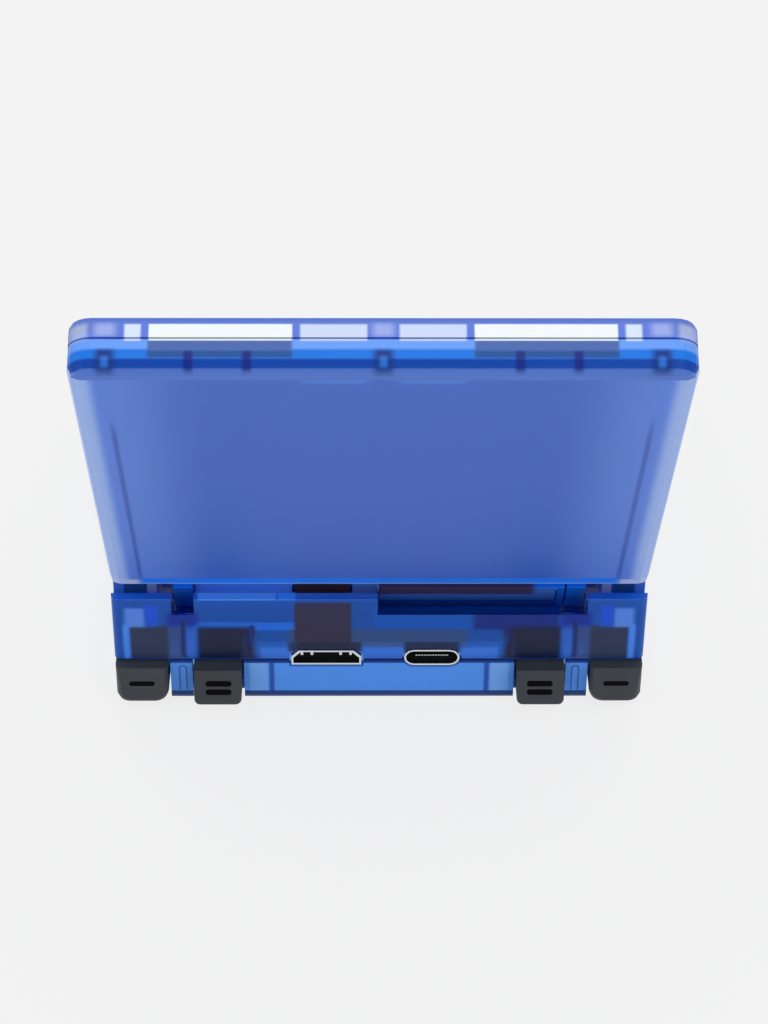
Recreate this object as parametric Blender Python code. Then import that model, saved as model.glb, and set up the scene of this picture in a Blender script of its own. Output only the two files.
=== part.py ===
# Clamshell handheld game console, built from separate named solids in metres, +Z up.
# The origin is on the flat underside, +Y is the rear (hinge and ports) and +X the player's right.
# The lid pieces are placed as if closed and hang on one empty on the hinge axis, turned open.
import math

import bmesh
import bpy
from mathutils import Matrix, Vector

# Body: two half shells that part at the ports' middle
BODY_WIDTH = 0.085
BODY_DEPTH = 0.0845
RIM_TOP = 0.0181
PARTING_Z = 0.00815
PARTING_GAP = 0.0003
PLAN_CORNER = 0.005
REAR_CORNER = 0.0012
WALL = 0.0016
FLOOR = 0.0018
EDGE_ROUND = 0.0009
FIT = 0.0003
OVERRUN = 0.001

# Sunk control field in the deck, so that the buttons clear the closed lid
FIELD_DEPTH = 0.0016
DECK = 0.0015
FIELD_FRONT_INSET = 0.00375
FIELD_REAR_INSET = 0.01625
FIELD_SIDE = 0.004
FIELD_CORNER = 0.003

# Rear wall above the deck, and the pocket before it that the display cable enters
REAR_WALL_TOP = 0.02075
REAR_WALL = 0.0015
POCKET_FLOOR = 0.0174
POCKET_SIDE = 0.0133

# Hinge: its axis, how far the lid stands open, and the base's ears
HINGE_INSET = 0.00675
HINGE_Z = 0.02193
LID_OPEN = math.radians(118.7)
EAR_RADIUS = 0.0038
EAR_OUTER_SIDE = 0.0003
EAR_INNER_SIDE = 0.0073
EAR_FOOT = 0.0165
CARTRIDGE_RADIUS = 0.0026
CARTRIDGE_LENGTH = 0.0041

# Lid: distances from the hinge axis when it is closed
LID_NEAR = 0.00245
LID_TOP = 0.00467
LID_THICKNESS = 0.0083
LID_PARTING = -0.0002
LID_CORNER = 0.0034
LID_NEAR_CORNER = 0.002
LID_EDGE_ROUND = 0.0016
LID_WALL = 0.0016
LID_NEAR_WALL = 0.0033
LID_SCOOP = 0.0042
HOUSING_ROOT = 0.0049
LID_SKIN = 0.0013

# Hinge housings of the lid: a square-backed barrel on the left half and a knuckle at each side
BARREL_INNER_END = 0.0
BARREL_SIDE = 0.0131
BARREL_TOP = 0.00435
BARREL_REAR = 0.007
BARREL_CORNER = 0.0013
BARREL_UNDER = 0.0036
BARREL_BORE = 0.003
BARREL_END_WALL = 0.0012
KNUCKLE_INNER_SIDE = 0.0128
KNUCKLE_OUTER_SIDE = 0.0098
KNUCKLE_BORE = 0.0019
TROUGH_RADIUS = 0.0081
TROUGH_WALL = 0.0011
TROUGH_FRONT = 0.0063
TROUGH_REACH = math.radians(50)
NECK_RADIUS = 0.0044

# Steel tongue that joins each knuckle to its hinge cartridge
TONGUE_SIDE = 0.00735
TONGUE_HALF_LENGTH = 0.0033
TONGUE_HALF_HEIGHT = 0.0021
TONGUE_SHAFT = 0.0016
TONGUE_SHAFT_LENGTH = 0.0022

# Display: cover glass, panel, backing sheet and window
GLASS_THICKNESS = 0.001
GLASS_SIDES = 0.007
GLASS_ENDS = 0.0125
GLASS_CORNER = 0.003
WINDOW_SIDES = 0.0128
WINDOW_ENDS = 0.0207
LCD_SIDES = 0.0081
LCD_ENDS = 0.0128
LCD_THICKNESS = 0.0028
BACKING_SIDES = 0.0095
BACKING_ENDS = 0.0138
BACKING_THICKNESS = 0.0004
BEZEL_SKIN = 0.0008

# Lid's far edge: screw bosses, foam pads, ribs and the closing magnet
LID_BOSS_SIDE = 0.0052
LID_BOSS_RADIUS = 0.0016
LID_BOSS_INSET = 0.0035
LID_SEAT_HEIGHT = 0.0021
EDGE_CHANNEL_SKIN = 0.0006
EDGE_CHANNEL_SIDE = 0.004
EDGE_CHANNEL_DEPTH = 0.0023
LID_PAD_START = 0.0120
LID_PAD_END_GAP = 0.0056
LID_PAD_DEPTH = 0.0016
LID_PAD_HEIGHT = 0.0024
LID_RIB_SHARES = (0.32, 0.716)
LID_RIB = 0.0009
LID_RIB_DEPTH = 0.0016
MAGNET_SIZE = (0.006, 0.0016, 0.0024)
MAGNET_X = 0.0065

# Display cable: a roll in the barrel and a stem that enters the base
CABLE_RADIUS = 0.0023
CABLE_END_GAP = 0.0014
CABLE_END_X = 0.0135
STEM_X = 0.00915
STEM_WIDTH = 0.0089
STEM_THICKNESS = 0.0014
STEM_SLOT_CLEARANCE = 0.0004

# Main board, its rear tongue between the shoulder buttons, and what it carries
BOARD_UNDERSIDE = 0.0104
BOARD_THICKNESS = 0.001
BOARD_SIDE = 0.004
BOARD_FRONT_INSET = 0.00375
BOARD_REAR_INSET = 0.01075
BOARD_TONGUE_SIDE = 0.0227
BOARD_TONGUE_INSET = 0.00245
SHIELD_WIDTH_SHARE = 0.69
SHIELD_LENGTH = 0.018
SHIELD_HEIGHT = 0.0014
SHIELD_PLACE = (0.0, 0.002)
REAR_MODULE_SIDE_GAP = 0.00555
REAR_MODULE_DEPTH = 0.0042
REAR_MODULE_HEIGHT = 0.001
REAR_MODULE_X = 0.0003
REAR_MODULE_INSET = 0.00505
ANTENNA_SIZE = (0.014, 0.0045, 0.0009)
ANTENNA_SIDE = 0.023
ANTENNA_INSET = 0.01375
SEAT_GAP = 0.0003

# Rear sockets, a little above the parting line
VIDEO_X_SHARE = 0.2
VIDEO_WIDTH = 0.0112
VIDEO_HEIGHT = 0.0029
VIDEO_CHAMFER = 0.0012
DATA_X_SHARE = 0.1988
DATA_WIDTH = 0.00894
DATA_HEIGHT = 0.00316
SOCKET_RISE = 0.0004
SOCKET_LENGTH = 0.0072
SOCKET_REAR_INSET = 0.0001
SOCKET_SKIN = 0.0003
SOCKET_DEPTH = 0.0052
SOCKET_CLEARANCE = 0.00035
TONGUE_SHARE = 0.62
SOCKET_TONGUE_HEIGHT = 0.0007

# Front edge: charging socket and headphone socket
CHARGE_X_SHARE = 0.188
JACK_SIDE = 0.0155
JACK_Z = 0.0072
JACK_RADIUS = 0.0026
JACK_BORE = 0.00175
JACK_LENGTH = 0.0075
JACK_DEPTH = 0.0062
FRONT_SOCKET_INSET = 0.00015

# Card slots in the side walls
CARD_SLOT_Y = -0.018
CARD_SLOT_LENGTH = 0.0135
CARD_SLOT_HEIGHT = 0.0017
CARD_SLOT_DEPTH = 0.0125
CARD_MOUTH_LENGTH = 0.0112
CARD_MOUTH_HEIGHT = 0.0009
CARD_SLOT_Z = 0.00895

# Shoulder buttons: each head's two ends from the side, how far it stands out behind, its foot and its corner
HEAD_OUTER_SIDES = (0.00855, 0.0002)
HEAD_OUTER_FORM = (0.0028, 0.0013, 0.0022, 0.0011)
HEAD_INNER_SIDES = (0.0204, 0.0128)
HEAD_INNER_FORM = (0.0046, 0.0024, 0.001, 0.0023)
ARM_OUTER_SIDES = (0.0086, 0.0022)
ARM_INNER_SIDES = (0.0207, 0.0128)
SHOULDER_HEAD_TOP = 0.0078
SHOULDER_HEAD_INSET = 0.00735
SHOULDER_ARM_TOP = 0.0124
SHOULDER_ARM_FRONT_INSET = 0.00705
SHOULDER_ARM_REAR_INSET = 0.00225
SHOULDER_TRAVEL = 0.0007
SHOULDER_CLEARANCE = 0.00035
DIVIDER_SIDES = (0.0216, 0.0108)
DIVIDER = 0.0008
DIVIDER_FOOT = 0.0085
SWITCH_BOARD_SIDES = (0.0205, 0.0025)
SWITCH_BOARD_THICKNESS = 0.001
SWITCH_BOARD_GAP = 0.0011
SWITCH_BOARD_TOP = 0.0124
SWITCH_BOARD_FOOT = 0.0082

# Deck controls
PAD_SIDE = 0.017
PAD_INSET = 0.03525
CONTROL_TOP = 0.0178
CROSS_SINK = 0.0004
BUTTON_RADIUS = 0.0034
BUTTON_SPREAD = 0.0078
BUTTON_CLEARANCE = 0.00025
BUTTON_FLANGE = 0.0043
FLANGE_THICKNESS = 0.0009
FLANGE_FOOT = 0.0127
SMALL_BUTTON_RADIUS = 0.0021
SMALL_FLANGE = 0.0028
MENU_INSET = 0.02375
START_X = 0.0055
START_INSET = 0.01125
CROWN_ROUND = 0.0005
CROSS_LENGTH = 0.0206
CROSS_WIDTH = 0.0068
CROSS_CLEARANCE = 0.0005
CROSS_FOOT = 0.0133
CROSS_CORNER = 0.0008
GIMBAL_RADIUS = 0.0021
GIMBAL_HEIGHT = 0.0006
GIMBAL_GAP = 0.0003
MEMBRANE_THICKNESS = 0.0004
MEMBRANE_RADIUS = 0.0125
BUTTON_SIDES = 28

# Side controls: volume rocker on the left, power and reset on the right
VOLUME_INSET = 0.01925
VOLUME_LENGTH = 0.014
SIDE_KEY_HEIGHT = 0.003
SIDE_KEY_Z = 0.0132
SIDE_KEY_PROUD = 0.0005
SIDE_KEY_INSIDE = 0.0028
SIDE_KEY_CLEARANCE = 0.0003
SIDE_KEY_TRAVEL = 0.0004
POWER_INSET = 0.01925
POWER_LENGTH = 0.009
RESET_INSET = 0.03025
RESET_LENGTH = 0.003

# Power and sound pieces in the lower shell
BATTERY_SIDE = 0.0195
BATTERY_LENGTH = 0.03
BATTERY_HEIGHT = 0.0042
BATTERY_INSET = 0.02075
DOOR_SIDE = 0.0165
DOOR_FRONT_INSET = 0.00425
DOOR_LENGTH = 0.033
DOOR_THICKNESS = 0.0013
DOOR_CORNER = 0.002
DOOR_LEDGE = 0.0014
SPEAKER_WIDTH = 0.012
SPEAKER_HEIGHT = 0.0027
SPEAKER_LENGTH_SHARE = 0.645
SPEAKER_SIDE = 0.0125
SPEAKER_INSET = 0.00925
GRILLE_SLOTS = 5
GRILLE_PITCH = 0.0026
GRILLE_SLOT = (0.0012, 0.0085)
MOTOR_RADIUS = 0.0026
MOTOR_LENGTH = 0.010
MOTOR_SIDE = 0.0105
MOTOR_INSET = 0.03025

# Screws
SCREW_SIDE = 0.009
SCREW_FRONT_INSET = 0.00475
SCREW_REAR_INSET = 0.01475
SCREW_HEAD_RADIUS = 0.0018
SCREW_HEAD = 0.0009
SCREW_SHANK_RADIUS = 0.0008
SCREW_LENGTH = 0.0062
SCREW_RECESS = 0.0004
SCREW_BOSS = 0.0027
SCREW_BOSS_HEIGHT = 0.0046
SLOT_WIDTH = 0.0005
SLOT_DEPTH = 0.0004
LID_SCREW_LENGTH = 0.0052
LID_SCREW_HEAD = 0.0009
LID_SCREW_HEAD_RADIUS = 0.0011
LID_SCREW_SHANK_RADIUS = 0.0006

SIDES = 32
SMALL_SIDES = 20
CORNER_STEPS = 5
EDGE_STEPS = 2
SMOOTH_ANGLE = math.radians(35)
NEAR_SHARE = 0.999

HALF_WIDTH = BODY_WIDTH / 2
HALF_DEPTH = BODY_DEPTH / 2


def from_side(margins):
    return tuple(HALF_WIDTH - margin for margin in margins)


DIVIDER_X = from_side(DIVIDER_SIDES)
FIELD_HALF_WIDTH = HALF_WIDTH - FIELD_SIDE
POCKET_END = HALF_WIDTH - POCKET_SIDE
EAR_OUTER = HALF_WIDTH - EAR_OUTER_SIDE
EAR_INNER = HALF_WIDTH - EAR_INNER_SIDE
BARREL_OUTER_END = HALF_WIDTH - BARREL_SIDE
KNUCKLE_INNER = HALF_WIDTH - KNUCKLE_INNER_SIDE
KNUCKLE_OUTER = HALF_WIDTH - KNUCKLE_OUTER_SIDE
TONGUE_OUTER = HALF_WIDTH - TONGUE_SIDE
LID_BOSS_X = HALF_WIDTH - LID_BOSS_SIDE
EDGE_CHANNEL_HALF_WIDTH = HALF_WIDTH - EDGE_CHANNEL_SIDE
BOARD_HALF_WIDTH = HALF_WIDTH - BOARD_SIDE
BOARD_TONGUE_HALF_WIDTH = HALF_WIDTH - BOARD_TONGUE_SIDE
JACK_X = HALF_WIDTH - JACK_SIDE
PAD_X = HALF_WIDTH - PAD_SIDE
SCREW_X = HALF_WIDTH - SCREW_SIDE
HINGE_Y = HALF_DEPTH - HINGE_INSET
BOARD_REAR = HALF_DEPTH - BOARD_REAR_INSET
BOARD_TONGUE_REAR = HALF_DEPTH - BOARD_TONGUE_INSET
SOCKET_REAR = HALF_DEPTH - SOCKET_REAR_INSET
FRONT_SOCKET_FACE = HALF_DEPTH - FRONT_SOCKET_INSET
SHOULDER_HEAD_FRONT = HALF_DEPTH - SHOULDER_HEAD_INSET
SHOULDER_ARM_FRONT = HALF_DEPTH - SHOULDER_ARM_FRONT_INSET
SHOULDER_ARM_REAR = HALF_DEPTH - SHOULDER_ARM_REAR_INSET
VOLUME_Y = HALF_DEPTH - VOLUME_INSET
POWER_Y = HALF_DEPTH - POWER_INSET
RESET_Y = HALF_DEPTH - RESET_INSET
SCREW_Y_REAR = HALF_DEPTH - SCREW_REAR_INSET
FIELD_FRONT = HALF_DEPTH - FIELD_FRONT_INSET
BOARD_FRONT = HALF_DEPTH - BOARD_FRONT_INSET
PAD_Y = HALF_DEPTH - PAD_INSET
FIELD_REAR = HALF_DEPTH - FIELD_REAR_INSET
SCREW_Y_FRONT = SCREW_FRONT_INSET - HALF_DEPTH
DOOR_FRONT_Y = DOOR_FRONT_INSET - HALF_DEPTH
BATTERY_Y = BATTERY_INSET - HALF_DEPTH
DOOR_REAR_Y = DOOR_FRONT_Y + DOOR_LENGTH
DOOR_WIDTH = BODY_WIDTH - 2 * DOOR_SIDE
LID_WIDTH = BODY_WIDTH
LID_FAR = HINGE_Y + HALF_DEPTH
LID_LENGTH = LID_FAR - LID_NEAR
GLASS_WIDTH = LID_WIDTH - GLASS_SIDES
WINDOW_WIDTH = LID_WIDTH - WINDOW_SIDES
LCD_WIDTH = LID_WIDTH - LCD_SIDES
BACKING_WIDTH = LID_WIDTH - BACKING_SIDES
GLASS_HEIGHT = LID_LENGTH - GLASS_ENDS
WINDOW_HEIGHT = LID_LENGTH - WINDOW_ENDS
LCD_HEIGHT = LID_LENGTH - LCD_ENDS
BACKING_HEIGHT = LID_LENGTH - BACKING_ENDS
LID_PAD_LENGTH = LID_BOSS_X - LID_PAD_END_GAP - LID_PAD_START
LID_RIB_X = tuple(LID_PAD_START + share * LID_PAD_LENGTH for share in LID_RIB_SHARES)
CABLE_LENGTH = BARREL_OUTER_END - CABLE_END_GAP + CABLE_END_X
VIDEO_X = VIDEO_X_SHARE * HALF_WIDTH
DATA_X = DATA_X_SHARE * HALF_WIDTH
CHARGE_X = CHARGE_X_SHARE * HALF_WIDTH
SHIELD_WIDTH = SHIELD_WIDTH_SHARE * 2 * (PAD_X - MEMBRANE_RADIUS)
SHIELD_SIZE = (SHIELD_WIDTH, SHIELD_LENGTH, SHIELD_HEIGHT)
REAR_MODULE_SIZE = (2 * (DIVIDER_X[0] - REAR_MODULE_SIDE_GAP), REAR_MODULE_DEPTH, REAR_MODULE_HEIGHT)
REAR_MODULE_PLACE = (REAR_MODULE_X, HALF_DEPTH - REAR_MODULE_INSET)
ANTENNA_PLACE = (ANTENNA_SIDE - HALF_WIDTH, HALF_DEPTH - ANTENNA_INSET)
SHOULDER_ARM_OUTER = from_side(ARM_OUTER_SIDES)
SHOULDER_ARM_INNER = from_side(ARM_INNER_SIDES)
SWITCH_BOARD_SPAN = from_side(SWITCH_BOARD_SIDES)
SHOULDER_OUTER = (*from_side(HEAD_OUTER_SIDES), *HEAD_OUTER_FORM)
SHOULDER_INNER = (*from_side(HEAD_INNER_SIDES), *HEAD_INNER_FORM)
MENU_PLACE = (0.0, HALF_DEPTH - MENU_INSET)
START_PLACE = (START_X, START_INSET - HALF_DEPTH)
SPEAKER_FRONT = SPEAKER_INSET - HALF_DEPTH
SPEAKER_ROOM = PAD_Y - BUTTON_SPREAD - BUTTON_FLANGE - SPEAKER_FRONT
SPEAKER_SIZE = (SPEAKER_WIDTH, SPEAKER_LENGTH_SHARE * SPEAKER_ROOM, SPEAKER_HEIGHT)
SPEAKER_PLACE = (HALF_WIDTH - SPEAKER_SIDE, SPEAKER_FRONT + SPEAKER_SIZE[1] / 2)
MOTOR_PLACE = (MOTOR_SIDE - HALF_WIDTH, HALF_DEPTH - MOTOR_INSET)
BATTERY_SIZE = (BODY_WIDTH - 2 * BATTERY_SIDE, BATTERY_LENGTH, BATTERY_HEIGHT)
HINGE = Vector((0, HINGE_Y, HINGE_Z))
SOCKET_Z = PARTING_Z + SOCKET_RISE
LOWER_TOP = PARTING_Z - PARTING_GAP / 2
UPPER_FOOT = PARTING_Z + PARTING_GAP / 2
FIELD_TOP = RIM_TOP - FIELD_DEPTH
CEILING = FIELD_TOP - DECK
BOARD_TOP = BOARD_UNDERSIDE + BOARD_THICKNESS
LID_FRONT_Y = HINGE_Y - LID_FAR
LID_NEAR_Y = HINGE_Y - LID_NEAR
LID_MIDDLE_Y = (LID_FRONT_Y + LID_NEAR_Y) / 2
LID_OUTER_Z = HINGE_Z + LID_TOP
LID_INNER_Z = LID_OUTER_Z - LID_THICKNESS
LID_SEAM_Z = HINGE_Z + LID_PARTING


def clear_scene():
    for old in list(bpy.data.objects):
        bpy.data.objects.remove(old)


def collection(name):
    made = bpy.data.collections.new(name)
    bpy.context.scene.collection.children.link(made)
    return made


def material(name, colour, roughness, metallic=0.0, alpha=1.0):
    made = bpy.data.materials.new(name)
    made.use_nodes = True
    shader = made.node_tree.nodes["Principled BSDF"]
    shader.inputs["Base Color"].default_value = (*colour, 1.0)
    shader.inputs["Roughness"].default_value = roughness
    shader.inputs["Metallic"].default_value = metallic
    shader.inputs["Alpha"].default_value = alpha
    return made


clear_scene()
PARTS = collection("clamshell_game_console")
CUTTERS = collection("cutters")
BLUE = material("translucent_blue_plastic", (0.01, 0.13, 0.72), 0.35)
BLACK = material("black_button_plastic", (0.03, 0.035, 0.04), 0.45)
STEEL = material("steel", (0.55, 0.57, 0.6), 0.3, 1.0)
DARK_STEEL = material("dark_steel", (0.09, 0.1, 0.12), 0.4, 1.0)
BOARD_GREEN = material("blue_solder_mask", (0.02, 0.06, 0.16), 0.5)
RUBBER = material("grey_silicone", (0.35, 0.36, 0.38), 0.7)
WHITE_FOAM = material("white_foam", (0.85, 0.87, 0.9), 0.8)
GLASS = material("cover_glass", (0.01, 0.01, 0.012), 0.08)
SILVER = material("silver_film", (0.5, 0.52, 0.56), 0.5)
COPPER = material("copper_film", (0.25, 0.1, 0.05), 0.5)


def from_bmesh(name, bm, place, mat, group):
    mesh = bpy.data.meshes.new(name)
    bmesh.ops.recalc_face_normals(bm, faces=bm.faces)
    bm.to_mesh(mesh)
    bm.free()
    mesh.shade_smooth()
    mesh.set_sharp_from_angle(angle=SMOOTH_ANGLE)
    if mat:
        mesh.materials.append(mat)
    made = bpy.data.objects.new(name, mesh)
    made.location = place
    group.objects.link(made)
    if group is CUTTERS:
        made.hide_render = True
        made.display_type = "WIRE"
    return made


# A box by its lower and upper corners, with rounded upright corners and eased top or bottom edges
def box(name, low, high, mat=None, corner=0.0, top=0.0, bottom=0.0, origin=None):
    low, high = Vector(low), Vector(high)
    size, middle = high - low, (low + high) / 2
    place = Vector(origin) if origin else middle
    bm = bmesh.new()
    bmesh.ops.create_cube(bm, size=1.0)
    bmesh.ops.scale(bm, vec=size, verts=bm.verts)
    front, rear = corner if isinstance(corner, tuple) else (corner, corner)
    for radius, side in ((front, -1), (rear, 1)):
        upright = [
            e for e in bm.edges
            if abs(e.verts[0].co.z - e.verts[1].co.z) > size.z / 2
            and all(v.co.y * side > size.y / 2 * NEAR_SHARE for v in e.verts)
        ]
        if radius:
            bmesh.ops.bevel(
                bm, geom=upright, offset=radius, segments=CORNER_STEPS, profile=0.5, affect="EDGES"
            )
    for ease, side in ((top, 1), (bottom, -1)):
        if ease:
            rim = [e for e in bm.edges if all(v.co.z * side > size.z / 2 * NEAR_SHARE for v in e.verts)]
            bmesh.ops.bevel(bm, geom=rim, offset=ease, segments=EDGE_STEPS, profile=0.5, affect="EDGES")
    bmesh.ops.translate(bm, vec=middle - place, verts=bm.verts)
    return from_bmesh(name, bm, place, mat, PARTS if mat else CUTTERS)


# A cylinder that starts at a point and runs along an axis; with ease its far rim is rounded
def rod(name, start, length, radius, axis="Z", mat=None, sides=SIDES, ease=0.0):
    bm = bmesh.new()
    bmesh.ops.create_cone(
        bm, cap_ends=True, segments=sides, radius1=radius, radius2=radius, depth=length
    )
    if ease:
        rim = [e for e in bm.edges if all(v.co.z > length / 2 * NEAR_SHARE for v in e.verts)]
        bmesh.ops.bevel(bm, geom=rim, offset=ease, segments=EDGE_STEPS, profile=0.5, affect="EDGES")
    bmesh.ops.translate(bm, vec=(0, 0, length / 2), verts=bm.verts)
    turn = {"X": Matrix.Rotation(math.pi / 2, 4, "Y"), "Y": Matrix.Rotation(-math.pi / 2, 4, "X")}
    if axis in turn:
        bmesh.ops.transform(bm, matrix=turn[axis], verts=bm.verts)
    return from_bmesh(name, bm, start, mat, PARTS if mat else CUTTERS)


# A flat outline in the YZ plane, drawn out along X
def section(name, outline, start, end, mat=None):
    bm = bmesh.new()
    ring = [bm.verts.new((start, y, z)) for y, z in outline]
    face = bm.faces.new(ring)
    drawn = bmesh.ops.extrude_face_region(bm, geom=[face])
    moved = [v for v in drawn["geom"] if isinstance(v, bmesh.types.BMVert)]
    bmesh.ops.translate(bm, vec=(end - start, 0, 0), verts=moved)
    return from_bmesh(name, bm, (0, 0, 0), mat, PARTS if mat else CUTTERS)


def boolean(target, operation, tool):
    step = target.modifiers.new(operation.lower(), "BOOLEAN")
    step.operation = operation
    step.solver = "EXACT"
    step.object = tool
    if tool.name in PARTS.objects:
        PARTS.objects.unlink(tool)
        CUTTERS.objects.link(tool)
        tool.hide_render = True
        tool.display_type = "WIRE"
    return target


def cut(target, *tools):
    for tool in tools:
        boolean(target, "DIFFERENCE", tool)
    return target


def add(target, *tools):
    for tool in tools:
        boolean(target, "UNION", tool)
    return target


def mirrored(low, high, side):
    xs = sorted((low[0] * side, high[0] * side))
    return (xs[0], *low[1:]), (xs[1], *high[1:])


# Left pieces are worked out at the left, and right pieces at the right
SIDES_OF = (("left", -1), ("right", 1))


def hang_on(lid, *pieces):
    for piece in pieces:
        piece.parent = lid
        piece.matrix_parent_inverse = Matrix.Translation(-HINGE)


# Points of an arc about a centre in the YZ plane, both ends included
def arc(centre, radius, start, end, steps):
    turn = (end - start) / steps
    return [
        (centre[0] + radius * math.cos(start + turn * i), centre[1] + radius * math.sin(start + turn * i))
        for i in range(steps + 1)
    ]


# Half outline of the trough in the base that the turning housings need, in the YZ plane
def trough(name, radius, front, start, end, mat=None):
    low = -math.pi / 2 - math.asin(front / radius)
    outline = arc((HINGE_Y, HINGE_Z), radius, low, TROUGH_REACH, SMALL_SIDES)
    outline.append((HINGE_Y - front, outline[-1][1]))
    return section(name, outline, start, end, mat)


# Where the lid's housings lie along X, with the clearance that their troughs need
def housings():
    yield "barrel", -BARREL_OUTER_END, -BARREL_INNER_END
    for word, side in SIDES_OF:
        yield "knuckle_" + word, *sorted((KNUCKLE_INNER * side, KNUCKLE_OUTER * side))


def screw_places():
    for word, side in SIDES_OF:
        yield "front_" + word, side * SCREW_X, SCREW_Y_FRONT
        yield "rear_" + word, side * SCREW_X, SCREW_Y_REAR


def button_places():
    yield "button_a", PAD_X + BUTTON_SPREAD, PAD_Y
    yield "button_b", PAD_X, PAD_Y - BUTTON_SPREAD
    yield "button_x", PAD_X, PAD_Y + BUTTON_SPREAD
    yield "button_y", PAD_X - BUTTON_SPREAD, PAD_Y


def small_button_places():
    yield "button_menu", *MENU_PLACE
    yield "button_start", *START_PLACE
    yield "button_select", -START_PLACE[0], START_PLACE[1]


def side_keys():
    yield "volume_rocker", -1, VOLUME_Y, VOLUME_LENGTH
    yield "button_power", 1, POWER_Y, POWER_LENGTH
    yield "button_reset", 1, RESET_Y, RESET_LENGTH


def sockets():
    rear_face = SOCKET_REAR
    yield "video_socket", VIDEO_X, VIDEO_WIDTH, VIDEO_HEIGHT, rear_face
    yield "data_socket_rear", -DATA_X, DATA_WIDTH, DATA_HEIGHT, rear_face
    yield "data_socket_front", CHARGE_X, DATA_WIDTH, DATA_HEIGHT, -FRONT_SOCKET_FACE


def shell_openings(shell):
    for name, x, width, height, face in sockets():
        inward = -1 if face > 0 else 1
        ends = sorted((face + inward * (SOCKET_LENGTH + FIT), face - inward * OVERRUN))
        side = width / 2 + SOCKET_CLEARANCE
        rise = height / 2 + SOCKET_CLEARANCE
        low, high = (x - side, ends[0], SOCKET_Z - rise), (x + side, ends[-1], SOCKET_Z + rise)
        cut(shell, lying_slot(name + "_opening", low, high, None, name == "video_socket"))
    start = (JACK_X, -HALF_DEPTH - OVERRUN, JACK_Z)
    length = JACK_LENGTH + HALF_DEPTH - FRONT_SOCKET_FACE + OVERRUN + FIT
    cut(shell, rod("jack_opening", start, length, JACK_RADIUS + FIT, "Y", sides=SMALL_SIDES))


# The upper body before it is hollowed: a block whose rear wall stands above the deck's rim
def stepped_block(name):
    step = HALF_DEPTH - REAR_WALL
    outline = [(-HALF_DEPTH, UPPER_FOOT), (HALF_DEPTH, UPPER_FOOT), (HALF_DEPTH, REAR_WALL_TOP)]
    outline += [(step, REAR_WALL_TOP), (step, RIM_TOP), (-HALF_DEPTH, RIM_TOP)]
    made = section(name, outline, -HALF_WIDTH, HALF_WIDTH, BLUE)
    bm = bmesh.new()
    bm.from_mesh(made.data)
    for y, radius in ((-HALF_DEPTH, PLAN_CORNER), (HALF_DEPTH, REAR_CORNER)):
        upright = [
            e for e in bm.edges
            if all(abs(v.co.y - y) < FIT for v in e.verts)
            and abs(e.verts[0].co.z - e.verts[1].co.z) > WALL
        ]
        bmesh.ops.bevel(bm, geom=upright, offset=radius, segments=CORNER_STEPS, profile=0.5, affect="EDGES")
    rim = [
        e for e in bm.edges
        if all(abs(v.co.z - RIM_TOP) < FIT for v in e.verts)
        and not all(abs(v.co.y - step) < FIT for v in e.verts)
    ]
    bmesh.ops.bevel(bm, geom=rim, offset=EDGE_ROUND, segments=EDGE_STEPS, profile=0.5, affect="EDGES")
    bmesh.ops.triangulate(bm, faces=bm.faces)
    bm.to_mesh(made.data)
    bm.free()
    return made


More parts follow.
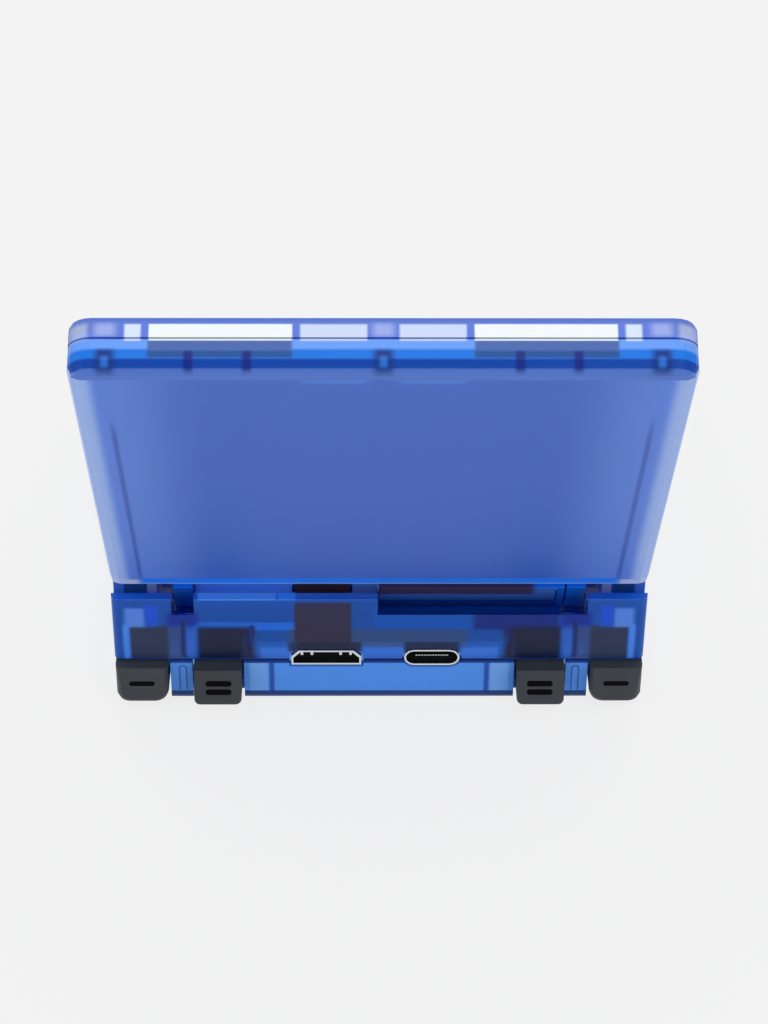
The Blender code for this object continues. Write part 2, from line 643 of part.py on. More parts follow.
def upper_shell():
    rear = HALF_DEPTH
    shell = stepped_block("base_upper_shell")
    for word, side in SIDES_OF:
        outline = arc((HINGE_Y, HINGE_Z), EAR_RADIUS, 0, math.pi, SMALL_SIDES)
        outline += [(HINGE_Y - EAR_RADIUS, EAR_FOOT), (HINGE_Y + EAR_RADIUS, EAR_FOOT)]
        start, end = sorted((EAR_INNER * side, EAR_OUTER * side))
        add(shell, section("ear_" + word, outline, start, end, BLUE))
    inside = HALF_WIDTH - WALL
    cavity = box(
        "upper_cavity",
        (-inside, WALL - HALF_DEPTH, UPPER_FOOT - OVERRUN),
        (inside, rear - REAR_WALL, CEILING),
        corner=(PLAN_CORNER - WALL, 0.0),
    )
    loft = box(
        "upper_cavity_rear",
        (FIT - inside, FIELD_REAR + WALL, CEILING - OVERRUN),
        (inside - FIT, rear - REAR_WALL - FIT, POCKET_FLOOR - DECK),
    )
    add(cavity, loft)
    keep = [trough(
        name + "_trough_wall", TROUGH_RADIUS + TROUGH_WALL, TROUGH_FRONT + TROUGH_WALL,
        start - TROUGH_WALL - FIT, end + TROUGH_WALL + FIT,
    ) for name, start, end in housings()]
    for word, side in SIDES_OF:
        for index, x in enumerate(DIVIDER_X):
            low, high = mirrored(
                (x - DIVIDER / 2, SHOULDER_ARM_FRONT, DIVIDER_FOOT), (x + DIVIDER / 2, rear, CEILING + OVERRUN), side
            )
            keep.append(box(f"divider_{word}_{index}", low, high))
    cut(cavity, *keep)
    cut(shell, cavity)
    for name, x, y in screw_places():
        start = (x, y, SCREW_BOSS_HEIGHT + FIT)
        length = POCKET_FLOOR - DECK / 2 - start[2]
        add(shell, rod("upper_boss_" + name, start, length, SCREW_BOSS, mat=BLUE, sides=SMALL_SIDES))
        bore = rod("upper_bore_" + name, (x, y, 0), SCREW_LENGTH + SCREW_BOSS, SCREW_SHANK_RADIUS + FIT, sides=SMALL_SIDES)
        cut(shell, bore)
    field = box(
        "control_field",
        (-FIELD_HALF_WIDTH, -FIELD_FRONT, FIELD_TOP),
        (FIELD_HALF_WIDTH, FIELD_REAR, RIM_TOP + OVERRUN),
        corner=FIELD_CORNER,
    )
    cut(shell, field)
    for name, start, end in housings():
        cut(shell, trough(name + "_trough", TROUGH_RADIUS, TROUGH_FRONT, start - FIT, end + FIT))
    for word, side in SIDES_OF:
        start = min(KNUCKLE_OUTER * side, EAR_INNER * side)
        neck = rod("neck_" + word, (start, HINGE_Y, HINGE_Z), EAR_INNER - KNUCKLE_OUTER, NECK_RADIUS, "X")
        length = CARTRIDGE_LENGTH + FIT * 2
        start = EAR_INNER * side if side > 0 else -EAR_INNER - length
        bore = rod("ear_bore_" + word, (start, HINGE_Y, HINGE_Z), length, CARTRIDGE_RADIUS + FIT, "X")
        cut(shell, neck, bore)
    low = (0, HINGE_Y - TROUGH_FRONT, POCKET_FLOOR)
    cut(shell, box("cable_pocket", low, (POCKET_END, rear - REAR_WALL, HINGE_Z)))
    reach = STEM_SLOT_CLEARANCE
    cut(shell, box(
        "stem_slot",
        (STEM_X - STEM_WIDTH / 2 - reach, HINGE_Y - STEM_THICKNESS / 2 - reach, CEILING - OVERRUN),
        (STEM_X + STEM_WIDTH / 2 + reach, HINGE_Y + STEM_THICKNESS / 2 + reach, HINGE_Z),
    ))
    deck_openings(shell)
    side_openings(shell)
    shell_openings(shell)
    return shell


def deck_openings(shell):
    depth = FIELD_DEPTH + DECK + OVERRUN
    foot = CEILING - OVERRUN / 2
    for name, x, y in button_places():
        cut(shell, rod(name + "_hole", (x, y, foot), depth, BUTTON_RADIUS + BUTTON_CLEARANCE, sides=BUTTON_SIDES))
    for name, x, y in small_button_places():
        radius = SMALL_BUTTON_RADIUS + BUTTON_CLEARANCE
        cut(shell, rod(name + "_hole", (x, y, foot), depth, radius, sides=SMALL_SIDES))
    cut(shell, cross("dpad_hole", CROSS_CLEARANCE, foot, foot + depth))
    for index in range(GRILLE_SLOTS):
        x = SPEAKER_PLACE[0] + (index - (GRILLE_SLOTS - 1) / 2) * GRILLE_PITCH
        half_x, half_y = GRILLE_SLOT[0] / 2, GRILLE_SLOT[1] / 2
        y = SPEAKER_PLACE[1]
        cut(shell, box(f"grille_slot_{index}", (x - half_x, y - half_y, foot), (x + half_x, y + half_y, foot + depth)))


def side_openings(shell):
    for name, side, y, length in side_keys():
        reach = SIDE_KEY_CLEARANCE
        low, high = mirrored(
            (HALF_WIDTH - WALL - OVERRUN / 2, y - length / 2 - reach, SIDE_KEY_Z - SIDE_KEY_HEIGHT / 2 - reach),
            (HALF_WIDTH + OVERRUN, y + length / 2 + reach, SIDE_KEY_Z + SIDE_KEY_HEIGHT / 2 + reach),
            side,
        )
        cut(shell, box(name + "_opening", low, high))
    for word, side in SIDES_OF:
        half = CARD_MOUTH_LENGTH / 2 + FIT
        rise = CARD_MOUTH_HEIGHT / 2 + FIT
        low, high = mirrored(
            (HALF_WIDTH - WALL - OVERRUN / 2, CARD_SLOT_Y - half, CARD_SLOT_Z - rise),
            (HALF_WIDTH + OVERRUN, CARD_SLOT_Y + half, CARD_SLOT_Z + rise),
            side,
        )
        cut(shell, box("card_opening_" + word, low, high))


# The cross of the direction pad, or its hole when grown by a clearance
def cross(name, grow, foot, top, mat=None):
    long, wide = CROSS_LENGTH / 2 + grow, CROSS_WIDTH / 2 + grow
    origin = (-PAD_X, PAD_Y, foot)
    ease = CROWN_ROUND if mat else 0.0
    across = box(name, (-PAD_X - long, PAD_Y - wide, foot), (-PAD_X + long, PAD_Y + wide, top),
                 mat, corner=CROSS_CORNER, top=ease, origin=origin)
    along = box(name + "_along", (-PAD_X - wide, PAD_Y - long, foot), (-PAD_X + wide, PAD_Y + long, top),
                mat, corner=CROSS_CORNER, top=ease, origin=origin)
    return add(across, along)


def lower_shell():
    shell = box(
        "base_lower_shell",
        (-HALF_WIDTH, -HALF_DEPTH, 0),
        (HALF_WIDTH, HALF_DEPTH, LOWER_TOP),
        BLUE,
        corner=(PLAN_CORNER, REAR_CORNER),
        bottom=EDGE_ROUND,
    )
    inside = HALF_WIDTH - WALL
    cavity = box(
        "lower_cavity",
        (-inside, WALL - HALF_DEPTH, FLOOR),
        (inside, HALF_DEPTH - REAR_WALL, LOWER_TOP + OVERRUN),
        corner=(PLAN_CORNER - WALL, 0.0),
    )
    keep = [
        rod("lower_boss_" + name, (x, y, 0), SCREW_BOSS_HEIGHT, SCREW_BOSS, sides=SMALL_SIDES)
        for name, x, y in screw_places()
    ]
    cut(cavity, *keep)
    cut(shell, cavity)
    for word, side in SIDES_OF:
        for index, (start, end, front) in enumerate((
            (SHOULDER_OUTER[0], HALF_WIDTH + OVERRUN, SHOULDER_HEAD_FRONT),
            (SHOULDER_INNER[0], SHOULDER_INNER[1], HALF_DEPTH - REAR_WALL),
        )):
            reach = SHOULDER_CLEARANCE
            low, high = mirrored(
                (start - reach, front - SHOULDER_TRAVEL - reach, -OVERRUN),
                (end + reach, HALF_DEPTH + OVERRUN, LOWER_TOP + OVERRUN),
                side,
            )
            cut(shell, box(f"shoulder_opening_{word}_{index}", low, high))
    for name, x, y in screw_places():
        head = rod("screw_recess_" + name, (x, y, -OVERRUN), OVERRUN + SCREW_RECESS + SCREW_HEAD,
                   SCREW_HEAD_RADIUS + FIT, sides=SMALL_SIDES)
        bore = rod("screw_bore_" + name, (x, y, 0), SCREW_BOSS_HEIGHT + OVERRUN,
                   SCREW_SHANK_RADIUS + FIT, sides=SMALL_SIDES)
        cut(shell, head, bore)
    half = DOOR_WIDTH / 2
    recess = box("door_recess", (-half - FIT, DOOR_FRONT_Y - FIT, -OVERRUN),
                 (half + FIT, DOOR_REAR_Y + FIT, DOOR_THICKNESS + FIT / 2), corner=DOOR_CORNER)
    way = box("battery_way", (-half + DOOR_LEDGE, DOOR_FRONT_Y + DOOR_LEDGE, 0),
              (half - DOOR_LEDGE, DOOR_REAR_Y - DOOR_LEDGE, FLOOR + OVERRUN), corner=DOOR_CORNER)
    cut(shell, recess, way)
    shell_openings(shell)
    return shell


# A screw that points up from its head, with a straight driver slot
def screw(name, place, head_radius, head, shank_radius, length):
    x, y, z = place
    made = rod(name, place, head, head_radius, mat=STEEL, sides=SMALL_SIDES)
    add(made, rod(name + "_shank", (x, y, z + head / 2), length + head / 2, shank_radius, mat=STEEL, sides=SMALL_SIDES))
    slot = box(name + "_slot", (x - head_radius - OVERRUN, y - SLOT_WIDTH / 2, z - OVERRUN),
               (x + head_radius + OVERRUN, y + SLOT_WIDTH / 2, z + SLOT_DEPTH))
    return cut(made, slot)


def socket(name, x, width, height, face, mat=STEEL):
    inward = -1 if face > 0 else 1
    back = face + inward * SOCKET_LENGTH
    low_y, high_y = sorted((face, back))
    low = (x - width / 2, low_y, SOCKET_Z - height / 2)
    high = (x + width / 2, high_y, SOCKET_Z + height / 2)
    made = lying_slot(name, low, high, mat, name == "video_socket")
    mouth_y = sorted((face - inward * OVERRUN, face + inward * SOCKET_DEPTH))
    skin = SOCKET_SKIN
    mouth = lying_slot(
        name + "_mouth", (low[0] + skin, mouth_y[0], low[2] + skin), (high[0] - skin, mouth_y[1], high[2] - skin),
        None, name == "video_socket",
    )
    cut(made, mouth)
    half = width * TONGUE_SHARE / 2
    tongue_y = sorted((face + inward * SOCKET_SKIN * 2, face + inward * (SOCKET_DEPTH + SOCKET_SKIN)))
    rise = SOCKET_TONGUE_HEIGHT / 2
    tongue = box(name + "_tongue", (x - half, tongue_y[0], SOCKET_Z - rise), (x + half, tongue_y[1], SOCKET_Z + rise), mat)
    return add(made, tongue)


# A socket's body along Y: round ends, or a trapezoid whose upper corners are cut
def lying_slot(name, low, high, mat, trapezoid):
    bm = bmesh.new()
    x0, x1, z0, z1 = low[0], high[0], low[2], high[2]
    if trapezoid:
        cut_in = VIDEO_CHAMFER
        points = [(x0, z0), (x1, z0), (x1, z1 - cut_in), (x1 - cut_in, z1), (x0 + cut_in, z1), (x0, z1 - cut_in)]
    else:
        radius = (z1 - z0) / 2
        middle = (z0 + z1) / 2
        points = arc((x1 - radius, middle), radius, -math.pi / 2, math.pi / 2, CORNER_STEPS + 1)
        points += arc((x0 + radius, middle), radius, math.pi / 2, math.pi * 3 / 2, CORNER_STEPS + 1)
    face = bm.faces.new([bm.verts.new((x, low[1], z)) for x, z in points])
    drawn = bmesh.ops.extrude_face_region(bm, geom=[face])
    moved = [v for v in drawn["geom"] if isinstance(v, bmesh.types.BMVert)]
    bmesh.ops.translate(bm, vec=(0, high[1] - low[1], 0), verts=moved)
    return from_bmesh(name, bm, (0, 0, 0), mat, PARTS if mat else CUTTERS)


def board():
    made = box("main_board", (-BOARD_HALF_WIDTH, -BOARD_FRONT, BOARD_UNDERSIDE),
               (BOARD_HALF_WIDTH, BOARD_REAR, BOARD_TOP), BOARD_GREEN)
    add(made, box("board_tongue", (-BOARD_TONGUE_HALF_WIDTH, BOARD_REAR - OVERRUN, BOARD_UNDERSIDE),
                  (BOARD_TONGUE_HALF_WIDTH, BOARD_TONGUE_REAR, BOARD_TOP), BOARD_GREEN))
    for name, x, y in screw_places():
        start = (x, y, BOARD_UNDERSIDE - OVERRUN)
        cut(made, rod("board_hole_" + name, start, BOARD_THICKNESS + OVERRUN * 2, SCREW_BOSS + FIT, sides=SMALL_SIDES))


def on_board(name, size, place, mat):
    x, y = place
    foot = BOARD_TOP + SEAT_GAP
    return box(name, (x - size[0] / 2, y - size[1] / 2, foot), (x + size[0] / 2, y + size[1] / 2, foot + size[2]), mat)


def board_pieces():
    board()
    on_board("processor_shield", SHIELD_SIZE, SHIELD_PLACE, STEEL)
    on_board("rear_module", REAR_MODULE_SIZE, REAR_MODULE_PLACE, DARK_STEEL)
    on_board("wireless_antenna", ANTENNA_SIZE, ANTENNA_PLACE, SILVER)
    on_board("speaker", SPEAKER_SIZE, SPEAKER_PLACE, BLACK)
    for name, x, width, height, face in sockets():
        socket(name, x, width, height, face)
    start = (JACK_X, -FRONT_SOCKET_FACE, JACK_Z)
    jack = rod("headphone_socket", start, JACK_LENGTH, JACK_RADIUS, "Y", BLACK, SMALL_SIDES)
    start = (JACK_X, -FRONT_SOCKET_FACE - OVERRUN, JACK_Z)
    cut(jack, rod("jack_bore", start, JACK_DEPTH + OVERRUN, JACK_BORE, "Y", sides=SMALL_SIDES))
    for word, side in SIDES_OF:
        outer = HALF_WIDTH - WALL - FIT
        half, rise = CARD_SLOT_LENGTH / 2, CARD_SLOT_HEIGHT / 2
        low, high = mirrored((outer - CARD_SLOT_DEPTH, CARD_SLOT_Y - half, CARD_SLOT_Z - rise),
                             (outer, CARD_SLOT_Y + half, CARD_SLOT_Z + rise), side)
        holder = box("card_slot_" + word, low, high, STEEL)
        half, rise = CARD_MOUTH_LENGTH / 2, CARD_MOUTH_HEIGHT / 2
        low, high = mirrored((outer - CARD_SLOT_DEPTH + SOCKET_SKIN, CARD_SLOT_Y - half, CARD_SLOT_Z - rise),
                             (outer + OVERRUN, CARD_SLOT_Y + half, CARD_SLOT_Z + rise), side)
        cut(holder, box("card_mouth_" + word, low, high))
        low, high = mirrored((SWITCH_BOARD_SPAN[0], SHOULDER_ARM_FRONT - SWITCH_BOARD_GAP - SWITCH_BOARD_THICKNESS,
                              SWITCH_BOARD_FOOT),
                             (SWITCH_BOARD_SPAN[1], SHOULDER_ARM_FRONT - SWITCH_BOARD_GAP, SWITCH_BOARD_TOP), side)
        box("shoulder_switch_board_" + word, low, high, BOARD_GREEN)
    for name, x in (("dpad_membrane", -PAD_X), ("action_membrane", PAD_X)):
        start = (x, PAD_Y, BOARD_TOP + SEAT_GAP)
        rod(name, start, MEMBRANE_THICKNESS, MEMBRANE_RADIUS, mat=RUBBER)


def power_pieces():
    x, y = BATTERY_SIZE[0] / 2, BATTERY_SIZE[1] / 2
    foot = FLOOR + SEAT_GAP
    box("battery", (-x, BATTERY_Y - y, foot), (x, BATTERY_Y + y, foot + BATTERY_SIZE[2]), SILVER, corner=DOOR_CORNER)
    half = DOOR_WIDTH / 2
    box("battery_door", (-half, DOOR_FRONT_Y, 0), (half, DOOR_REAR_Y, DOOR_THICKNESS), BLUE, corner=DOOR_CORNER)
    start = (MOTOR_PLACE[0], MOTOR_PLACE[1] - MOTOR_LENGTH / 2, FLOOR + SEAT_GAP + MOTOR_RADIUS)
    rod("vibration_motor", start, MOTOR_LENGTH, MOTOR_RADIUS, "Y", STEEL, SMALL_SIDES)
    for name, x, y in screw_places():
        screw("base_screw_" + name, (x, y, SCREW_RECESS), SCREW_HEAD_RADIUS, SCREW_HEAD, SCREW_SHANK_RADIUS, SCREW_LENGTH)


def round_button(name, x, y, radius, flange, sides):
    foot = (x, y, FLANGE_FOOT)
    made = rod(name, foot, CONTROL_TOP - FLANGE_FOOT, radius, mat=BLACK, sides=sides, ease=CROWN_ROUND)
    return add(made, rod(name + "_flange", foot, FLANGE_THICKNESS, flange, mat=BLACK, sides=sides))


def deck_controls():
    for name, x, y in button_places():
        round_button(name, x, y, BUTTON_RADIUS, BUTTON_FLANGE, BUTTON_SIDES)
    for name, x, y in small_button_places():
        round_button(name, x, y, SMALL_BUTTON_RADIUS, SMALL_FLANGE, SMALL_SIDES)
    cross("dpad", 0.0, CROSS_FOOT, CONTROL_TOP - CROSS_SINK, BLACK)
    foot = (-PAD_X, PAD_Y, CROSS_FOOT - GIMBAL_GAP - GIMBAL_HEIGHT)
    rod("dpad_gimbal", foot, GIMBAL_HEIGHT, GIMBAL_RADIUS, mat=STEEL, sides=SMALL_SIDES)


def side_controls():
    for name, side, y, length in side_keys():
        inner = HALF_WIDTH - WALL + SIDE_KEY_PROUD - SIDE_KEY_INSIDE
        low, high = mirrored((inner, y - length / 2, SIDE_KEY_Z - SIDE_KEY_HEIGHT / 2),
                             (HALF_WIDTH + SIDE_KEY_PROUD, y + length / 2, SIDE_KEY_Z + SIDE_KEY_HEIGHT / 2), side)
        box(name, low, high, BLACK)


# A shoulder button: the head that stands out behind and the arm that it carries inside
def shoulder_button(name, side, head, arm):
    start, end, proud, foot, corner, slope = head
    front = SHOULDER_HEAD_FRONT if end > HALF_WIDTH - WALL else SHOULDER_ARM_FRONT
    low, high = mirrored((start, front, foot), (end, HALF_DEPTH + proud, SHOULDER_HEAD_TOP), side)
    made = box(name, low, high, BLACK, corner=(0.0, corner), bottom=corner / 2)
    rear = HALF_DEPTH + proud
    outline = [(rear, foot), (rear + OVERRUN, foot), (rear + OVERRUN, SHOULDER_HEAD_TOP + OVERRUN)]
    outline += [(rear - slope, SHOULDER_HEAD_TOP + OVERRUN), (rear - slope, SHOULDER_HEAD_TOP)]
    cut(made, section(name + "_slope", outline, low[0] - OVERRUN, high[0] + OVERRUN))
    low, high = mirrored((arm[0], SHOULDER_ARM_FRONT, foot + corner), (arm[1], SHOULDER_ARM_REAR, SHOULDER_ARM_TOP), side)
    return add(made, box(name + "_arm", low, high, BLACK))


def shoulder_buttons():
    for letter, side in (("left", -1), ("right", 1)):
        shoulder_button(f"shoulder_{letter}_outer", side, SHOULDER_OUTER, SHOULDER_ARM_OUTER)
        shoulder_button(f"shoulder_{letter}_inner", side, SHOULDER_INNER, SHOULDER_ARM_INNER)


# Outline of a housing: round under the axis, square at the back, joined to the lid at the front
def housing_outline(top, rear, corner):
    y, z = HINGE_Y, HINGE_Z
    outline = [(y - HOUSING_ROOT, z + LID_PARTING - FIT), (y - HOUSING_ROOT, z - BARREL_UNDER / 2)]
    outline += arc((y, z), BARREL_UNDER, -math.pi / 2 - math.pi / 4, -math.pi / 4, CORNER_STEPS + 1)
    outline += [(y + rear, z - BARREL_UNDER / 4)]
    outline += arc((y + rear - corner, z + top - corner), corner, 0, math.pi / 2, CORNER_STEPS)
    outline += [(y - LID_NEAR + FIT * 2, z + top), (y - LID_NEAR + FIT * 2, z + LID_PARTING - FIT)]
    return outline


# Round hollow along the lid's near edge, so that it turns about the base's ears
def lid_scoop(name, radius):
    start = (-LID_WIDTH / 2 - OVERRUN, HINGE_Y, HINGE_Z)
    return rod(name, start, LID_WIDTH + OVERRUN * 2, radius, "X")


def lid_bezel():
    shell = box("lid_bezel", (-LID_WIDTH / 2, LID_FRONT_Y, LID_INNER_Z),
                (LID_WIDTH / 2, LID_NEAR_Y, LID_SEAM_Z - PARTING_GAP / 2), BLUE,
                corner=(LID_CORNER, LID_NEAR_CORNER), bottom=EDGE_ROUND)
    inside = LID_WIDTH / 2 - LID_WALL
    floor = LID_INNER_Z + GLASS_THICKNESS + FIT + BEZEL_SKIN
    cavity = box("bezel_cavity", (-inside, LID_FRONT_Y + LID_WALL, floor),
                 (inside, LID_NEAR_Y - LID_NEAR_WALL, LID_SEAM_Z + OVERRUN),
                 corner=(LID_CORNER - LID_WALL, 0.0))
    channel = box("edge_channel", (-EDGE_CHANNEL_HALF_WIDTH, LID_FRONT_Y + LID_WALL, LID_INNER_Z + EDGE_CHANNEL_SKIN),
                  (EDGE_CHANNEL_HALF_WIDTH, LID_FRONT_Y + LID_WALL + EDGE_CHANNEL_DEPTH, floor + OVERRUN))
    for index, x in enumerate((-LID_BOSS_X, 0.0, LID_BOSS_X)):
        start = (x, LID_FRONT_Y + LID_BOSS_INSET, LID_INNER_Z)
        seat = rod(f"bezel_seat_{index}", start, LID_SEAT_HEIGHT, LID_BOSS_RADIUS + FIT, sides=SMALL_SIDES)
        cut(cavity, seat)
        cut(channel, seat)
    cut(shell, cavity, channel, lid_scoop("bezel_scoop", LID_SCOOP + FIT))
    for side in (-1, 1):
        low, high = mirrored((EAR_INNER - FIT, HINGE_Y - LID_SCOOP, LID_INNER_Z - OVERRUN),
                             (LID_WIDTH / 2 + OVERRUN, HINGE_Y, HINGE_Z), side)
        cut(shell, box(f"ear_notch_{side}", low, high))
    for word, side in SIDES_OF:
        start, end = sorted((KNUCKLE_INNER * side, KNUCKLE_OUTER * side))
        add(shell, section("knuckle_" + word, housing_outline(BARREL_TOP, BARREL_REAR, BARREL_CORNER), start, end, BLUE))
        bore = rod("knuckle_bore_" + word, (min(start, end), HINGE_Y, HINGE_Z), end - start, KNUCKLE_BORE, "X", sides=SMALL_SIDES)
        cut(shell, bore)
    add(shell, section("barrel", housing_outline(BARREL_TOP, BARREL_REAR, BARREL_CORNER),
                       -BARREL_OUTER_END, -BARREL_INNER_END, BLUE))
    start = (BARREL_END_WALL - BARREL_OUTER_END, HINGE_Y, HINGE_Z)
    cut(shell, rod("barrel_bore", start, BARREL_OUTER_END + OVERRUN, BARREL_BORE, "X"))
    half_x, half_y = GLASS_WIDTH / 2 + FIT, GLASS_HEIGHT / 2 + FIT
    cut(shell, box("glass_recess", (-half_x, LID_MIDDLE_Y - half_y, LID_INNER_Z - OVERRUN),
                   (half_x, LID_MIDDLE_Y + half_y, LID_INNER_Z + GLASS_THICKNESS + FIT), corner=GLASS_CORNER))
    half_x, half_y = WINDOW_WIDTH / 2, WINDOW_HEIGHT / 2
    cut(shell, box("display_window", (-half_x, LID_MIDDLE_Y - half_y, LID_INNER_Z),
                   (half_x, LID_MIDDLE_Y + half_y, floor + OVERRUN)))
    for index, x in enumerate((-LID_BOSS_X, 0.0, LID_BOSS_X)):
        start = (x, LID_FRONT_Y + LID_BOSS_INSET, LID_INNER_Z - OVERRUN)
        recess = rod(f"lid_screw_recess_{index}", start, OVERRUN + LID_SCREW_HEAD + FIT,
                     LID_SCREW_HEAD_RADIUS + FIT / 2, sides=SMALL_SIDES)
        bore = rod(f"lid_screw_way_{index}", start, LID_THICKNESS / 2, LID_SCREW_SHANK_RADIUS + FIT, sides=SMALL_SIDES)
        cut(shell, recess, bore)
    return shell


def lid_outer_shell():
    shell = box("lid_outer_shell", (-LID_WIDTH / 2, LID_FRONT_Y, LID_SEAM_Z + PARTING_GAP / 2),
                (LID_WIDTH / 2, LID_NEAR_Y, LID_OUTER_Z), BLUE,
                corner=(LID_CORNER, LID_NEAR_CORNER), top=LID_EDGE_ROUND)
    inside = LID_WIDTH / 2 - LID_WALL
    cavity = box("lid_cavity", (-inside, LID_FRONT_Y + LID_WALL, LID_SEAM_Z - OVERRUN),
                 (inside, LID_NEAR_Y - LID_NEAR_WALL, LID_OUTER_Z - LID_SKIN), corner=(LID_CORNER - LID_WALL, 0.0))
    for side in (-1, 1):
        for index, x in enumerate(LID_RIB_X):
            low, high = mirrored((x - LID_RIB / 2, LID_FRONT_Y, LID_SEAM_Z - OVERRUN * 2),
                                 (x + LID_RIB / 2, LID_FRONT_Y + LID_WALL + LID_RIB_DEPTH, LID_OUTER_Z), side)
            cut(cavity, box(f"lid_rib_{side}_{index}", low, high))
    cut(shell, cavity, lid_scoop("outer_scoop", LID_SCOOP))
    for index, x in enumerate((-LID_BOSS_X, 0.0, LID_BOSS_X)):
        start = (x, LID_FRONT_Y + LID_BOSS_INSET, LID_INNER_Z + LID_SEAT_HEIGHT + FIT)
        length = LID_OUTER_Z - LID_SKIN / 2 - start[2]
        add(shell, rod(f"lid_boss_{index}", start, length, LID_BOSS_RADIUS, mat=BLUE, sides=SMALL_SIDES))
        cut(shell, rod(f"lid_boss_bore_{index}", (x, start[1], LID_INNER_Z), LID_SCREW_HEAD + LID_SCREW_LENGTH + FIT * 2,
                       LID_SCREW_SHANK_RADIUS + FIT / 2, sides=SMALL_SIDES))
    return shell


def lid_pieces():
    pieces = [lid_bezel(), lid_outer_shell()]
    half_x, half_y = GLASS_WIDTH / 2, GLASS_HEIGHT / 2
    pieces.append(box("screen_glass", (-half_x, LID_MIDDLE_Y - half_y, LID_INNER_Z),
                      (half_x, LID_MIDDLE_Y + half_y, LID_INNER_Z + GLASS_THICKNESS), GLASS, corner=GLASS_CORNER))
    foot = LID_INNER_Z + GLASS_THICKNESS + FIT + BEZEL_SKIN + SEAT_GAP
    half_x, half_y = LCD_WIDTH / 2, LCD_HEIGHT / 2
    pieces.append(box("display_panel", (-half_x, LID_MIDDLE_Y - half_y, foot),
                      (half_x, LID_MIDDLE_Y + half_y, foot + LCD_THICKNESS), BLACK))
    foot += LCD_THICKNESS + SEAT_GAP
    half_x, half_y = BACKING_WIDTH / 2, BACKING_HEIGHT / 2
    pieces.append(box("display_backing", (-half_x, LID_MIDDLE_Y - half_y, foot),
                      (half_x, LID_MIDDLE_Y + half_y, foot + BACKING_THICKNESS), SILVER))
    near = LID_FRONT_Y + LID_WALL + SEAT_GAP
    foot = LID_INNER_Z + EDGE_CHANNEL_SKIN + SEAT_GAP
    for word, side in SIDES_OF:
        low, high = mirrored((LID_PAD_START, near, foot),
                             (LID_PAD_START + LID_PAD_LENGTH, near + LID_PAD_DEPTH, foot + LID_PAD_HEIGHT), side)
        pieces.append(box("lid_pad_" + word, low, high, WHITE_FOAM))
    x, y, z = MAGNET_SIZE
    pieces.append(box("lid_magnet", (MAGNET_X - x / 2, near, foot), (MAGNET_X + x / 2, near + y, foot + z), STEEL))
    for index, x in enumerate((-LID_BOSS_X, 0.0, LID_BOSS_X)):
        place = (x, LID_FRONT_Y + LID_BOSS_INSET, LID_INNER_Z)
        pieces.append(screw(f"lid_screw_{index + 1}", place, LID_SCREW_HEAD_RADIUS, LID_SCREW_HEAD,
                            LID_SCREW_SHANK_RADIUS, LID_SCREW_LENGTH))
    start = (CABLE_END_X - CABLE_LENGTH, HINGE_Y, HINGE_Z)
    pieces.append(rod("display_cable", start, CABLE_LENGTH, CABLE_RADIUS, "X", COPPER, SMALL_SIDES))
    for word, side in SIDES_OF:
        low, high = mirrored(
            (KNUCKLE_OUTER + FIT, HINGE_Y - TONGUE_HALF_LENGTH, HINGE_Z - TONGUE_HALF_HEIGHT),
            (TONGUE_OUTER - FIT, HINGE_Y + TONGUE_HALF_LENGTH, HINGE_Z + TONGUE_HALF_HEIGHT), side,
        )
        tongue = box("hinge_tongue_" + word, low, high, STEEL)
        inner = KNUCKLE_OUTER + FIT * 2 - TONGUE_SHAFT_LENGTH
        start = (inner if side > 0 else -inner - TONGUE_SHAFT_LENGTH, HINGE_Y, HINGE_Z)
        add(tongue, rod("tongue_shaft_" + word, start, TONGUE_SHAFT_LENGTH, TONGUE_SHAFT, "X", STEEL, SMALL_SIDES))
        pieces.append(tongue)
    return pieces


def lid_assembly():
    pivot = bpy.data.objects.new("lid_pivot", None)
    pivot.location = HINGE
    pivot.rotation_euler.x = -LID_OPEN
    PARTS.objects.link(pivot)
    pieces = lid_pieces()
    for piece in pieces:
        hang_on(pivot, piece)
        for step in piece.modifiers:
            tool = step.object
            if tool.parent is None:
                hang_on(pivot, tool)
            for inner in tool.modifiers:
                if inner.object.parent is None:
                    hang_on(pivot, inner.object)


def hinge_cartridges():
    for word, side in SIDES_OF:
        start = EAR_INNER + FIT
        x = start if side > 0 else -start - CARTRIDGE_LENGTH
        rod("hinge_cartridge_" + word, (x, HINGE_Y, HINGE_Z), CARTRIDGE_LENGTH, CARTRIDGE_RADIUS, "X", DARK_STEEL)


def cable_stem():
    low = (STEM_X - STEM_WIDTH / 2, HINGE_Y - STEM_THICKNESS / 2, BOARD_TOP + SEAT_GAP * 2 + REAR_MODULE_SIZE[2])
    high = (STEM_X + STEM_WIDTH / 2, HINGE_Y + STEM_THICKNESS / 2, HINGE_Z - CABLE_RADIUS - SEAT_GAP)
    box("display_cable_stem", low, high, COPPER)


upper_shell()
lower_shell()
board_pieces()
power_pieces()
deck_controls()
side_controls()
shoulder_buttons()
hinge_cartridges()
cable_stem()
lid_assembly()
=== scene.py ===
# Clear blue clamshell games handheld with its lid open, seen from behind and above.
import math

import bmesh
import bpy
from mathutils import Matrix, Vector
from mathutils.bvhtree import BVHTree


